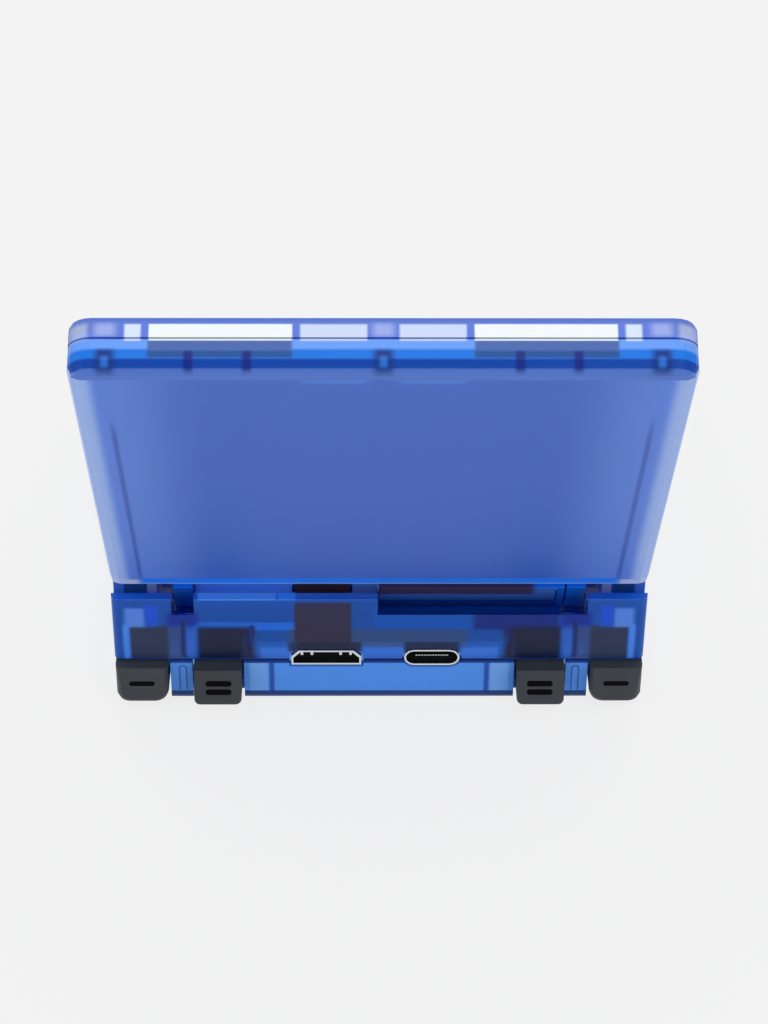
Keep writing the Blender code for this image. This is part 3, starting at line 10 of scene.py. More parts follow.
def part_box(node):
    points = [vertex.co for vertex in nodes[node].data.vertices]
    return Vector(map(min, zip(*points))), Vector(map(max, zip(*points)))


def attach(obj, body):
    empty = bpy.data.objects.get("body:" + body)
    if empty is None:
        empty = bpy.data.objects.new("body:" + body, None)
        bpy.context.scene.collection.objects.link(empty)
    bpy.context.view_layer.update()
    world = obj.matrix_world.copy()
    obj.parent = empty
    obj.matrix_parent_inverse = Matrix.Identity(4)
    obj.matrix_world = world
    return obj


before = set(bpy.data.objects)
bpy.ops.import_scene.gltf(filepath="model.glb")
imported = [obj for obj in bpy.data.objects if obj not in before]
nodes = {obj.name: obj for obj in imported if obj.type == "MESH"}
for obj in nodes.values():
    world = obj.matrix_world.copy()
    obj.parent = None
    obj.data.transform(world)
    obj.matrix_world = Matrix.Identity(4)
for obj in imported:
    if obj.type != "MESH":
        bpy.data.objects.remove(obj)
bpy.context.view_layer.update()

mm = 0.001
scene = bpy.context.scene
# Where a noise's values mostly lie, for spreading a roughness or a share over it
noiseSpan = {"From Min": 0.3, "From Max": 0.7}


# An sRGB hex colour as linear light
def hexColour(text):
    parts = [int(text[i:i + 2], 16) / 255 for i in (1, 3, 5)]
    linear = [v / 12.92 if v <= 0.04045 else ((v + 0.055) / 1.055) ** 2.4 for v in parts]
    return (*linear, 1.0)


# Adds a node, sets its properties, and fills its sockets from values or from other sockets.
def addNode(tree, kind, links=None, **settings):
    node = tree.nodes.new(kind)
    for name, value in settings.items():
        setattr(node, name, value)
    for socket, source in (links or {}).items():
        if isinstance(source, bpy.types.NodeSocket):
            tree.links.new(source, node.inputs[socket])
        else:
            node.inputs[socket].default_value = source
    return node


# An empty material: its tree, its output and the part's own coordinates
def newMaterial(name):
    mat = bpy.data.materials.new(name)
    mat.use_nodes = True
    mat.node_tree.nodes.clear()
    tree = mat.node_tree
    out = addNode(tree, "ShaderNodeOutputMaterial")
    coords = addNode(tree, "ShaderNodeTexCoord").outputs["Object"]
    return mat, tree, out, coords


# Where a point of the lid lies: along it from the hinge, up from the hinge axis, and across
lidFrame = {"hinge": (0.0, 35.5, 21.93), "open": 118.7}
openAngle = math.radians(lidFrame["open"])
alongLid = Vector((0.0, -math.cos(openAngle), math.sin(openAngle)))
outOfLid = Vector((0.0, math.sin(openAngle), math.cos(openAngle)))
hingePoint = Vector(lidFrame["hinge"]) * mm


# How far a surface point lies along a direction from an origin
def reach(tree, coords, direction, origin):
    spot = addNode(tree, "ShaderNodeVectorMath", {0: coords, 1: direction}, operation="DOT_PRODUCT")
    return addNode(tree, "ShaderNodeMath", {0: spot.outputs["Value"], 1: origin.dot(direction)},
                   operation="SUBTRACT").outputs[0]


# 1 between two distances in mm, fading to 0 over the soft width outside them
def bandMask(tree, value, low, high, soft=0.25):
    offset = addNode(tree, "ShaderNodeMath", {0: value, 1: (low + high) / 2 * mm}, operation="SUBTRACT")
    size = addNode(tree, "ShaderNodeMath", {0: offset.outputs[0]}, operation="ABSOLUTE")
    half = (high - low) / 2
    return addNode(tree, "ShaderNodeMapRange", {
        "Value": size.outputs[0], "From Min": (half + soft) * mm, "From Max": half * mm},
        interpolation_type="SMOOTHSTEP").outputs["Result"]


# Moulded clear polycarbonate: blue that deepens with the length of plastic that light crosses.
# Zones are where haze, moulded ribs or a part just behind the wall give a milky colour of their own, and
# where highlights, light passing through and shade are painted into that colour.
def clearPolycarbonate(name, look, axes):
    mat, tree, out, coords = newMaterial(name)
    if axes == "lid":
        along = reach(tree, coords, alongLid, hingePoint)
        height = reach(tree, coords, outOfLid, hingePoint)
    else:
        along = reach(tree, coords, Vector((0.0, 1.0, 0.0)), Vector())
        height = reach(tree, coords, Vector((0.0, 0.0, 1.0)), Vector())
    side = reach(tree, coords, Vector((1.0, 0.0, 0.0)), Vector())
    across = addNode(tree, "ShaderNodeMath", {0: side}, operation="ABSOLUTE").outputs[0]
    spans = {"along": along, "height": height, "across": across, "side": side}
    flow = addNode(tree, "ShaderNodeTexNoise", {
        "Vector": coords, "Scale": 1 / (look["flowSize"] * mm), "Detail": 2.0, "Roughness": 0.45})
    grain = addNode(tree, "ShaderNodeTexNoise", {
        "Vector": coords, "Scale": 1 / (look["grainSize"] * mm), "Detail": 1.0, "Roughness": 0.5})
    milkAndPaintedLightTint = addNode(tree, "ShaderNodeMix", {
        0: flow.outputs["Fac"], 6: hexColour(look["milk"][0]), 7: hexColour(look["milk"][1])},
        data_type="RGBA").outputs[2]
    share = addNode(tree, "ShaderNodeMapRange", {
        "Value": flow.outputs["Fac"], **noiseSpan,
        "To Min": look["share"] * 0.85, "To Max": look["share"] * 1.15}).outputs["Result"]
    gloss = addNode(tree, "ShaderNodeMapRange", {
        "Value": grain.outputs["Fac"], **noiseSpan,
        "To Min": look["rough"] - 0.02, "To Max": look["rough"] + 0.03}).outputs["Result"]
    for zone in look["zones"].values():
        mask = None
        for span, value in spans.items():
            if span in zone:
                band = bandMask(tree, value, *zone[span])
                mask = band if mask is None else addNode(
                    tree, "ShaderNodeMath", {0: mask, 1: band}, operation="MULTIPLY").outputs[0]
        milkAndPaintedLightTint = addNode(tree, "ShaderNodeMix", {
            0: mask, 6: milkAndPaintedLightTint, 7: hexColour(zone["tint"])}, data_type="RGBA").outputs[2]
        share = addNode(tree, "ShaderNodeMix", {0: mask, 2: share, 3: zone["share"]}).outputs[0]
        if "rough" in zone:
            gloss = addNode(tree, "ShaderNodeMix", {0: mask, 2: gloss, 3: zone["rough"]}).outputs[0]
    bump = addNode(tree, "ShaderNodeBump", {
        "Height": grain.outputs["Fac"], "Strength": look["grainStrength"], "Distance": 0.02 * mm})
    clear = addNode(tree, "ShaderNodeBsdfPrincipled", {
        "Base Color": hexColour(look["clear"]), "Roughness": gloss, "IOR": look["ior"],
        "Specular IOR Level": look["specular"], "Transmission Weight": 1.0,
        "Normal": bump.outputs["Normal"]})
    # Light in the haze of the plastic, or from the part behind it, comes back without passing through, and
    # so do the highlights, light and shade that the zones paint into its colour
    milk = addNode(tree, "ShaderNodeBsdfPrincipled", {
        "Base Color": milkAndPaintedLightTint, "Roughness": look["milkRough"], "IOR": look["ior"],
        "Specular IOR Level": look["specular"], "Normal": bump.outputs["Normal"]})
    body = addNode(tree, "ShaderNodeMixShader", {0: share, 1: clear.outputs[0], 2: milk.outputs[0]})
    # Lamp light passes straight through, so that the inside isn't left black
    lamp = addNode(tree, "ShaderNodeBsdfTransparent", {"Color": hexColour(look["lampTint"])})
    path = addNode(tree, "ShaderNodeLightPath")
    mix = addNode(tree, "ShaderNodeMixShader", {
        0: path.outputs["Is Shadow Ray"], 1: body.outputs[0], 2: lamp.outputs[0]})
    tree.links.new(mix.outputs[0], out.inputs["Surface"])
    # The dye takes out red and some green along the way through
    dye = addNode(tree, "ShaderNodeVolumeAbsorption", {
        "Color": hexColour(look["dye"]), "Density": look["dyeDensity"]})
    tree.links.new(dye.outputs[0], out.inputs["Volume"])
    return mat


# Opaque moulded plastics and rubbers: spark-eroded grain, slightly uneven gloss.
def mouldedPlastic(name, look):
    mat, tree, out, coords = newMaterial(name)
    cloud = addNode(tree, "ShaderNodeTexNoise", {
        "Vector": coords, "Scale": 1 / (look["cloudSize"] * mm), "Detail": 3.0, "Roughness": 0.5})
    tint = addNode(tree, "ShaderNodeMix", {
        0: cloud.outputs["Fac"], 6: hexColour(look["dark"]), 7: hexColour(look["light"])},
        data_type="RGBA")
    grain = addNode(tree, "ShaderNodeTexNoise", {
        "Vector": coords, "Scale": 1 / (look["grainSize"] * mm), "Detail": 2.0, "Roughness": 0.6})
    rough = addNode(tree, "ShaderNodeMapRange", {
        "Value": grain.outputs["Fac"], **noiseSpan,
        "To Min": look["rough"] - 0.06, "To Max": look["rough"] + 0.06})
    bump = addNode(tree, "ShaderNodeBump", {
        "Height": grain.outputs["Fac"], "Strength": look["grainStrength"], "Distance": 0.03 * mm})
    plastic = addNode(tree, "ShaderNodeBsdfPrincipled", {
        "Base Color": tint.outputs[2], "Roughness": rough.outputs["Result"], "IOR": look["ior"],
        "Specular IOR Level": look.get("specular", 0.5), "Normal": bump.outputs["Normal"]})
    tree.links.new(plastic.outputs[0], out.inputs["Surface"])
    return mat


# Pressed or turned metals: fine drawn lines along one axis and a little haze.
def workedMetal(name, look):
    mat, tree, out, coords = newMaterial(name)
    stretch = addNode(tree, "ShaderNodeMapping", {"Vector": coords, "Scale": look["grainStretch"]})
    lines = addNode(tree, "ShaderNodeTexNoise", {
        "Vector": stretch.outputs[0], "Scale": 1 / (look["grainSize"] * mm),
        "Detail": 3.0, "Roughness": 0.6})
    haze = addNode(tree, "ShaderNodeTexNoise", {
        "Vector": coords, "Scale": 1 / (look["hazeSize"] * mm), "Detail": 3.0, "Roughness": 0.55})
    tint = addNode(tree, "ShaderNodeMix", {
        0: haze.outputs["Fac"], 6: hexColour(look["dark"]), 7: hexColour(look["light"])},
        data_type="RGBA")
    rough = addNode(tree, "ShaderNodeMapRange", {
        "Value": lines.outputs["Fac"], **noiseSpan,
        "To Min": look["rough"] - 0.07, "To Max": look["rough"] + 0.07})
    bump = addNode(tree, "ShaderNodeBump", {
        "Height": lines.outputs["Fac"], "Strength": look["grainStrength"], "Distance": 0.01 * mm})
    metal = addNode(tree, "ShaderNodeBsdfPrincipled", {
        "Base Color": tint.outputs[2], "Metallic": 1.0, "Roughness": rough.outputs["Result"],
        "Normal": bump.outputs["Normal"]})
    tree.links.new(metal.outputs[0], out.inputs["Surface"])
    return mat


# Lid: clear blue, etched on its outer face, with pale foam and dark bosses close behind its far wall.
# A zone's spans are low, high and soft width in mm: along the lid from the hinge, height above the
# hinge axis, across from the middle on both sides alike, and side from the middle with its sign.
lidShellLook = {
    "clear": "#F4F8FF", "lampTint": "#FFFFFF", "dye": "#00BEF6", "dyeDensity": 900.0,
    "milk": ("#3E74DC", "#5C8CEA"), "share": 0.12, "milkRough": 0.4, "flowSize": 22.0,
    "grainSize": 0.35, "grainStrength": 0.1, "rough": 0.1, "ior": 1.49, "specular": 0.15,
    "zones": {
        # The etched outer face, paler towards its sides
        "etchedFace": {"height": (4.4, 6.0, 1.0), "along": (4.2, 75.6, 1.0), "tint": "#447EF2",
            "share": 0.5, "rough": 0.45},
        "faceTowardsSides": {"height": (4.4, 6.0, 0.5), "along": (4.2, 75.6, 1.0),
            "across": (36.5, 44.0, 12.0), "tint": "#6698FF", "share": 0.58},
        "faceStiffeners": {"height": (4.4, 6.0, 0.5), "along": (9.0, 58.0, 6.0),
            "across": (37.3, 37.5, 0.5), "tint": "#4470D8", "share": 0.55},
        # Pale side strips: frosted haze, with a painted sheen of white light on top
        "sideStripsHazeAndSheen": {"height": (0.6, 6.0), "across": (40.4, 44.0, 1.8), "along": (5.0, 76.0),
            "tint": "#A8C6FF", "share": 0.75},
        "faceGlint": {"height": (4.4, 6.0, 0.5), "along": (74.1, 74.6, 0.6),
            "across": (2.8, 10.6, 1.2), "tint": "#5596FF", "share": 0.6},
        # End band over the hinge, painted bright for the light passing through it, with a painted highlight
        # along its edge and pale painted highlights in crescents at its corners
        "endBandPaintedLight": {"height": (1.5, 6.0), "along": (1.0, 6.0, 0.6), "across": (0.0, 36.5, 2.0),
            "tint": "#1A7CFA", "share": 0.9},
        "endEdgePaintedHighlight": {"height": (2.8, 6.0), "along": (3.6, 4.2, 0.5), "tint": "#78AEFF",
            "share": 0.8},
        "cornerPaintedHighlights": {"height": (2.8, 6.0), "along": (1.0, 5.4, 0.8),
            "across": (38.4, 43.0, 1.2), "tint": "#C4D2FA", "share": 0.75},
        # The barrel that the film cable rolls in, and the knuckles beside it
        "barrel": {"along": (-9.0, 1.2, 0.6), "height": (-6.0, 6.0), "side": (-27.8, 0.6),
            "tint": "#3C6CC4", "share": 0.92},
        "cableInBarrel": {"along": (-0.7, 2.0, 0.5), "height": (-6.0, 6.0),
            "side": (-23.8, 0.6, 1.5), "tint": "#43395C", "share": 0.85},
        # Painted shade on the lower part of the barrel
        "barrelFootShade": {"along": (-9.0, -3.6, 0.5), "height": (-6.0, 6.0), "side": (-27.8, 0.6),
            "tint": "#1448A0", "share": 0.92},
        "knuckles": {"along": (-9.0, 1.2, 0.6), "height": (-6.0, 6.0), "across": (28.4, 33.0),
            "tint": "#1464D2", "share": 0.8},
        # Far wall, from the screen side to the outer face
        "farEdge": {"along": (75.6, 80.0), "height": (-4.4, -2.6, 0.15), "tint": "#5878D2",
            "share": 0.75},
        "hollowWall": {"along": (75.6, 80.0), "height": (-2.6, 0.2), "tint": "#5F80DC",
            "share": 0.7},
        "hazeUnderWall": {"along": (75.6, 80.0), "height": (0.2, 1.5, 0.5), "tint": "#6AA0F4",
            "share": 0.8},
        "litRoot": {"along": (75.6, 80.0), "height": (1.75, 2.9, 0.6), "tint": "#0C70D8",
            "share": 0.9},
        "wallRoot": {"along": (75.6, 80.0), "height": (3.05, 4.0, 0.35), "tint": "#003FA0",
            "share": 0.97},
        "roundedEdge": {"along": (75.0, 80.0), "height": (4.35, 6.0, 0.35), "tint": "#5276CC",
            "share": 0.97},
        # Foam strips behind the far wall, their painted shade below them, and the cells beside them, painted
        # pale for light coming through from behind
        "foamShade": {"along": (75.6, 80.0), "height": (0.2, 1.7, 0.4), "across": (12.5, 31.2, 0.6),
            "tint": "#4866A8", "share": 0.88},
        "foamShadeFoot": {"along": (75.6, 80.0), "height": (1.95, 2.5, 0.5),
            "across": (12.5, 31.2, 0.6), "tint": "#1E4E90", "share": 0.9},
        "foamStrips": {"along": (75.6, 80.0), "height": (-2.2, 0.05, 0.25),
            "across": (12.35, 31.25, 0.3), "tint": "#E2E8EA", "share": 0.97},
        "middleCells": {"along": (75.6, 80.0), "height": (-2.1, 0.0, 0.4),
            "across": (2.4, 10.9, 0.5), "tint": "#C6D2EC", "share": 0.92},
        "cornerCells": {"along": (75.6, 80.0), "height": (-2.1, 0.0, 0.4),
            "across": (32.7, 34.4, 0.5), "tint": "#D0DCF0", "share": 0.92},
        # Screw bosses: pale caps, dark sides round a lighter bore, and two ribs between them
        "outerBossCaps": {"along": (75.6, 80.0), "height": (-1.9, -1.0, 1.0),
            "across": (36.7, 37.9, 1.6), "tint": "#A6B6EC", "share": 0.7},
        "middleBossCap": {"along": (75.6, 80.0), "height": (-1.9, -1.0, 1.0),
            "across": (-0.6, 0.6, 1.6), "tint": "#A6B6EC", "share": 0.7},
        "cornerGlow": {"along": (74.0, 80.0), "height": (-1.9, -0.5, 1.0),
            "across": (40.2, 41.4, 1.2), "tint": "#B8C8F4", "share": 0.65},
        "middleBoss": {"along": (75.6, 80.0), "height": (2.0, 4.0, 0.9), "across": (-0.5, 0.5, 1.5),
            "tint": "#06307E", "share": 0.85},
        "outerBosses": {"along": (75.6, 80.0), "height": (2.0, 4.0, 0.9),
            "across": (36.7, 37.7, 1.5), "tint": "#06307E", "share": 0.85},
        "outerBossBores": {"along": (75.6, 80.0), "height": (2.9, 3.6, 0.8),
            "across": (37.1, 37.3, 0.8), "tint": "#2470D0", "share": 0.8},
        "middleBossBore": {"along": (75.6, 80.0), "height": (2.9, 3.6, 0.8),
            "across": (-0.1, 0.1, 0.8), "tint": "#2470D0", "share": 0.8},
        "outerRibs": {"along": (75.2, 80.0), "height": (2.1, 4.0, 0.7), "across": (25.8, 26.3, 0.7),
            "tint": "#001E78", "share": 0.85},
        "innerRibs": {"along": (75.2, 80.0), "height": (2.1, 4.0, 0.7), "across": (18.0, 18.5, 0.7),
            "tint": "#001E78", "share": 0.85},
    }}
# Base: the same plastic, glossier, with dark parts close behind the upper wall and a frosted lower wall.
# Here along is the distance to the rear of the origin, and height is above the underside.
baseShellLook = {
    "clear": "#F4F8FF", "lampTint": "#FFFFFF", "dye": "#00BEF6", "dyeDensity": 800.0,
    "milk": ("#2A62C8", "#3F7BE0"), "share": 0.14, "milkRough": 0.35, "flowSize": 16.0,
    "grainSize": 0.35, "grainStrength": 0.06, "rough": 0.12, "ior": 1.49, "specular": 0.15,
    "zones": {
        # Sides, then the trough under the hinge and the rim behind it
        "sideWalls": {"across": (41.4, 44.0, 0.8), "height": (0.0, 21.0), "tint": "#6094FF",
            "share": 0.66},
        "upperCorners": {"across": (39.6, 44.0, 0.8), "height": (18.6, 24.0, 0.8),
            "along": (34.0, 44.0, 0.8), "tint": "#4478DE", "share": 0.7},
        "cartridges": {"along": (39.0, 39.6), "height": (18.6, 22.5), "across": (37.5, 40.4, 0.4),
            "tint": "#1E4C8E", "share": 0.8},
        "cartridgeCollars": {"along": (39.0, 39.6), "height": (18.6, 22.5),
            "across": (35.5, 36.7, 0.4), "tint": "#8C9AD6", "share": 0.75},
        "hingeTongues": {"along": (33.0, 39.6), "height": (15.0, 18.4), "across": (33.0, 35.2, 0.4),
            "tint": "#8094D4", "share": 0.75},
        "troughFloor": {"along": (33.0, 41.0), "height": (15.0, 18.0), "across": (0.0, 30.0),
            "tint": "#0462DA", "share": 0.95},
        "troughFoot": {"along": (28.0, 41.0), "height": (12.4, 14.4), "across": (0.0, 29.0),
            "tint": "#0444A8", "share": 0.95},
        "rearRim": {"along": (40.4, 43.0), "height": (20.2, 21.2), "tint": "#1E62CC", "share": 0.8},
        "litRim": {"along": (40.4, 43.0), "height": (20.2, 21.2), "side": (16.5, 28.6),
            "tint": "#4494F4", "share": 0.85},
        "litRimStep": {"along": (40.4, 43.0), "height": (20.2, 21.2), "side": (13.4, 16.0),
            "tint": "#2C86FA", "share": 0.85},
        # The upper wall, and what stands close behind it
        "upperWall": {"along": (41.6, 44.0), "height": (8.2, 20.3), "tint": "#0A58B8",
            "share": 0.72, "rough": 0.3},
        "lightBehindWall": {"along": (41.6, 44.0), "height": (14.6, 15.6, 0.6),
            "side": (13.0, 29.0, 1.0), "tint": "#1E74F0", "share": 0.8},
        "pocketWall": {"along": (41.6, 44.0), "height": (14.8, 19.0, 0.5),
            "side": (-14.0, 0.5, 0.8), "tint": "#0C5CC4", "share": 0.8},
        "troughBehindWall": {"along": (41.6, 44.0), "height": (14.8, 19.0, 0.8),
            "side": (-28.0, -15.6, 1.2), "tint": "#0C2E8A", "share": 0.8},
        "gapBesideInnerButton": {"along": (41.6, 44.0), "height": (8.6, 14.6, 1.2),
            "across": (31.9, 35.0, 0.7), "tint": "#34508E", "share": 0.75},
        "outerSwitchBoards": {"along": (41.6, 44.0), "height": (8.6, 14.8, 1.0),
            "across": (34.2, 39.3, 1.0), "tint": "#2C3858", "share": 0.8},
        "innerSwitchBoards": {"along": (41.6, 44.0), "height": (8.6, 14.4, 1.4),
            "across": (20.4, 28.4, 1.2), "tint": "#141F3E", "share": 0.8},
        "litOuterPosts": {"along": (41.6, 44.0), "height": (8.4, 15.0, 1.0),
            "across": (40.2, 40.5, 0.7), "tint": "#4C92FF", "share": 0.75},
        "litEarFeet": {"along": (41.6, 44.0), "height": (15.4, 18.4, 0.8),
            "across": (37.8, 39.8, 1.2), "tint": "#5A92F2", "share": 0.75},
        "earFeet": {"along": (41.6, 44.0), "height": (15.6, 19.0, 1.0), "across": (35.6, 36.8, 0.9),
            "tint": "#0C5AE8", "share": 0.7},
        "tongueFeet": {"along": (41.6, 44.0), "height": (15.8, 17.4, 1.2),
            "across": (29.6, 33.0, 1.6), "tint": "#0832A0", "share": 0.8},
        "ribsBetweenButtons": {"along": (41.6, 44.0), "height": (9.0, 16.0, 0.5),
            "across": (31.0, 31.4, 0.4), "tint": "#102C70", "share": 0.75},
        "postsBesideRibs": {"along": (41.6, 44.0), "height": (9.0, 14.0, 1.0),
            "across": (29.4, 30.4, 0.6), "tint": "#2C66D2", "share": 0.7},
        "ribsBesideBoards": {"along": (41.6, 44.0), "height": (11.5, 15.0, 0.7),
            "across": (20.2, 20.5, 0.4), "tint": "#0C2A72", "share": 0.8},
        "rearModule": {"along": (41.6, 44.0), "height": (10.6, 14.0, 0.9),
            "side": (-13.5, 14.2, 1.0), "tint": "#32548C", "share": 0.75},
        "hazeAtSockets": {"along": (41.6, 44.0), "height": (8.0, 10.4, 0.8),
            "across": (0.0, 18.6, 0.8), "tint": "#3A7AE4", "share": 0.75},
        "foldedCable": {"along": (41.6, 44.0), "height": (10.2, 19.6, 0.8),
            "side": (4.8, 13.2, 0.7), "tint": "#352F48", "share": 0.8},
        "videoSocketBody": {"along": (41.6, 44.0), "height": (10.2, 11.6, 0.5),
            "side": (3.2, 14.2, 0.9), "tint": "#1A2444", "share": 0.75},
        "dataSocketBody": {"along": (41.6, 44.0), "height": (10.2, 11.6, 0.5),
            "side": (-12.6, -4.4, 0.9), "tint": "#1A2A54", "share": 0.75},
        # The lower wall, frosted by its ribs
        "lowerWall": {"along": (36.0, 46.0), "height": (-1.0, 8.1, 0.1), "tint": "#58A0FC",
            "share": 0.87},
        "lowerWallSteps": {"along": (36.0, 46.0), "height": (-1.0, 8.1, 0.1),
            "across": (18.2, 20.6, 0.5), "tint": "#7CB8FF", "share": 0.85},
        "lowerWallRibs": {"along": (36.0, 46.0), "height": (-1.0, 8.1, 0.1),
            "across": (17.1, 17.5, 0.4), "tint": "#2C5AB8", "share": 0.85},
        "seamShade": {"along": (36.0, 46.0), "height": (7.6, 8.4, 0.2), "tint": "#123A8C",
            "share": 0.9},
        "footShade": {"along": (36.0, 46.0), "height": (-1.0, 1.5, 0.4), "tint": "#1C387E",
            "share": 0.9},
    }}
# Shoulder buttons: matt charcoal with an eroded grain
keyLook = {
    "dark": "#303438", "light": "#3E4246", "cloudSize": 9.0, "grainSize": 0.3, "grainStrength": 0.4,
    "rough": 0.5, "ior": 1.5, "specular": 0.3}
# Face buttons, pad and rocker: charcoal with a soft shine
faceButtonLook = {
    "dark": "#24272A", "light": "#2E3236", "cloudSize": 6.0, "grainSize": 0.25, "grainStrength": 0.25,
    "rough": 0.36, "ior": 1.5}
# Hinge cartridges, gimbal and speaker: near black and waxy
acetalLook = {
    "dark": "#1A1B1E", "light": "#242629", "cloudSize": 4.0, "grainSize": 0.2, "grainStrength": 0.15,
    "rough": 0.4, "ior": 1.48}
# Membranes: light grey rubber without shine
siliconeLook = {
    "dark": "#9DA3A8", "light": "#B4BABF", "cloudSize": 6.0, "grainSize": 0.4, "grainStrength": 0.1,
    "rough": 0.6, "ior": 1.41}
# Strips in the lid: white and powdery
foamLook = {
    "dark": "#DDE3EA", "light": "#F4F7FA", "cloudSize": 1.2, "grainSize": 0.35, "grainStrength": 0.6,
    "rough": 0.85, "ior": 1.4}
# Sockets, tongues and contacts: bright plating with fine drawn lines
steelLook = {
    "dark": "#C9CCD1", "light": "#E4E6EA", "grainSize": 0.25, "grainStretch": (0.12, 1.0, 1.0),
    "grainStrength": 0.2, "hazeSize": 3.0, "rough": 0.24}
# Screws and motor: dark oxide with turned lines
darkSteelLook = {
    "dark": "#3B3D42", "light": "#55585E", "grainSize": 0.2, "grainStretch": (1.0, 1.0, 0.3),
    "grainStrength": 0.2, "hazeSize": 2.0, "rough": 0.34}
# Display cable: brown film with a dull shine
filmLook = {
    "dark": "#4A3230", "light": "#6B4A3E", "cloudSize": 3.0, "grainSize": 0.4, "grainStrength": 0.1,
    "rough": 0.35, "ior": 1.6}
# Reflector, cell wrap and shield: soft silver haze
foilLook = {
    "dark": "#AEB4BE", "light": "#C8CDD5", "grainSize": 0.5, "grainStretch": (1.0, 0.2, 1.0),
    "grainStrength": 0.15, "hazeSize": 8.0, "rough": 0.42}
# Boards: deep blue solder mask, faintly uneven
boardLook = {
    "dark": "#12233C", "light": "#1B3458", "cloudSize": 2.0, "grainSize": 0.5, "grainStrength": 0.3,
    "rough": 0.38, "ior": 1.5}
# Socket mouths and the sunk bars: black that gives back almost no light
mouthLook = {
    "dark": "#020203", "light": "#050506", "cloudSize": 2.0, "grainSize": 0.2, "grainStrength": 0.1,
    "rough": 0.7, "ior": 1.6, "specular": 0.05}
# Post marks: a moulded rib a little lighter than the wall's shade
markLook = {
    "dark": "#1E4CA4", "light": "#2A5CB8", "cloudSize": 2.0, "grainSize": 0.2, "grainStrength": 0.05,
    "rough": 0.3, "ior": 1.49}
# Packages and coils: black epoxy with a sandy grain
packageLook = {
    "dark": "#101113", "light": "#1A1C1F", "cloudSize": 3.0, "grainSize": 0.15, "grainStrength": 0.3,
    "rough": 0.5, "ior": 1.55}
# Capacitors: tan fired ceramic, each a little different
ceramicLook = {
    "dark": "#8A7048", "light": "#B09468", "cloudSize": 0.8, "grainSize": 0.1, "grainStrength": 0.1,
    "rough": 0.35, "ior": 1.7}
# Switched-off panel: dark grey under gloss
litAreaLook = {
    "dark": "#14171C", "light": "#1B1F26", "cloudSize": 30.0, "grainSize": 0.3, "grainStrength": 0.02,
    "rough": 0.12, "ior": 1.52}
# Cover glass: black print under polished glass
glassLook = {
    "dark": "#050608", "light": "#090B0E", "cloudSize": 20.0, "grainSize": 1.0, "grainStrength": 0.02,
    "rough": 0.08, "ior": 1.52}

finishes = {
    "lidShell": clearPolycarbonate("clearPolycarbonateLid", lidShellLook, "lid"),
    "baseShell": clearPolycarbonate("clearPolycarbonateBase", baseShellLook, "base"),
    "key": mouldedPlastic("sparkErodedAbs", keyLook),
    "faceButton": mouldedPlastic("polishedAbs", faceButtonLook),
    "acetal": mouldedPlastic("mouldedAcetal", acetalLook),
    "silicone": mouldedPlastic("castSilicone", siliconeLook),
    "foam": mouldedPlastic("polyethyleneFoam", foamLook),
    "steel": workedMetal("nickelPlatedSteel", steelLook),
    "darkSteel": workedMetal("blackOxideSteel", darkSteelLook),
    "film": mouldedPlastic("polyimideFilm", filmLook),
    "foil": workedMetal("aluminiumReflector", foilLook),
    "board": mouldedPlastic("solderMaskBoard", boardLook),
    "glass": mouldedPlastic("blackCoverGlass", glassLook),
    "litArea": mouldedPlastic("liquidCrystalPanel", litAreaLook),
    "mouth": mouldedPlastic("glassFilledNylon", mouthLook),
    "package": mouldedPlastic("epoxyPackage", packageLook),
    "mark": mouldedPlastic("dyedPolycarbonateRib", markLook),
    "ceramic": mouldedPlastic("firedCeramic", ceramicLook),
}
wears = {
    "lidShell": ["lid_outer_shell", "lid_bezel"],
    "baseShell": ["base_upper_shell", "base_lower_shell", "battery_door"],
    "key": [n for n in nodes if n.startswith(("shoulder_left_i", "shoulder_left_o",
                                              "shoulder_right_i", "shoulder_right_o"))],
    "faceButton": [n for n in nodes if n.startswith("button_") or n in ("dpad", "volume_rocker")],
    "acetal": ["hinge_cartridge_left", "hinge_cartridge_right", "dpad_gimbal", "speaker"],
    "silicone": ["dpad_membrane", "action_membrane"],
    "foam": ["lid_pad_left", "lid_pad_right"],
    "steel": ["video_socket", "data_socket_rear", "data_socket_front", "card_slot_left",
              "card_slot_right", "hinge_tongue_left", "hinge_tongue_right", "lid_magnet"],
    "darkSteel": [n for n in nodes if "screw" in n] + ["vibration_motor", "headphone_socket"],
    "film": ["display_cable", "display_cable_stem"],
    "foil": ["display_backing", "battery", "processor_shield", "display_panel"],
    "board": ["main_board", "rear_module", "wireless_antenna", "shoulder_switch_board_left",
              "shoulder_switch_board_right"],
    "glass": ["screen_glass"],
}
for finish, names in wears.items():
    for name in names:
        nodes[name].data.materials.clear()
        nodes[name].data.materials.append(finishes[finish])
left = sorted(n for n, o in nodes.items() if not any(n in names for names in wears.values()))
print("nodes without a finish:", left)


# A piece of its own: its mesh, its finish and the body that carries it
def makePiece(name, bm, finish, body, edge=0.0):
    bmesh.ops.recalc_face_normals(bm, faces=bm.faces)
    mesh = bpy.data.meshes.new(name)
    bm.to_mesh(mesh)
    bm.free()
    piece = bpy.data.objects.new(name, mesh)
    scene.collection.objects.link(piece)
    mesh.materials.append(finishes[finish])
    if edge:
        bevel = piece.modifiers.new("brokenEdges", "BEVEL")
        bevel.width = edge * mm
        bevel.segments = 2
        bevel.limit_method = "ANGLE"
    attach(piece, body)
    return piece


# Adds a flat outline of (x, z) points, drawn along Y from near to far, all in mm
def addDrawn(bm, outline, near, far):
    face = bm.faces.new([bm.verts.new((x * mm, near * mm, z * mm)) for x, z in outline])
    drawn = bmesh.ops.extrude_face_region(bm, geom=[face])
    moved = [v for v in drawn["geom"] if isinstance(v, bmesh.types.BMVert)]
    bmesh.ops.translate(bm, vec=(0, (far - near) * mm, 0), verts=moved)


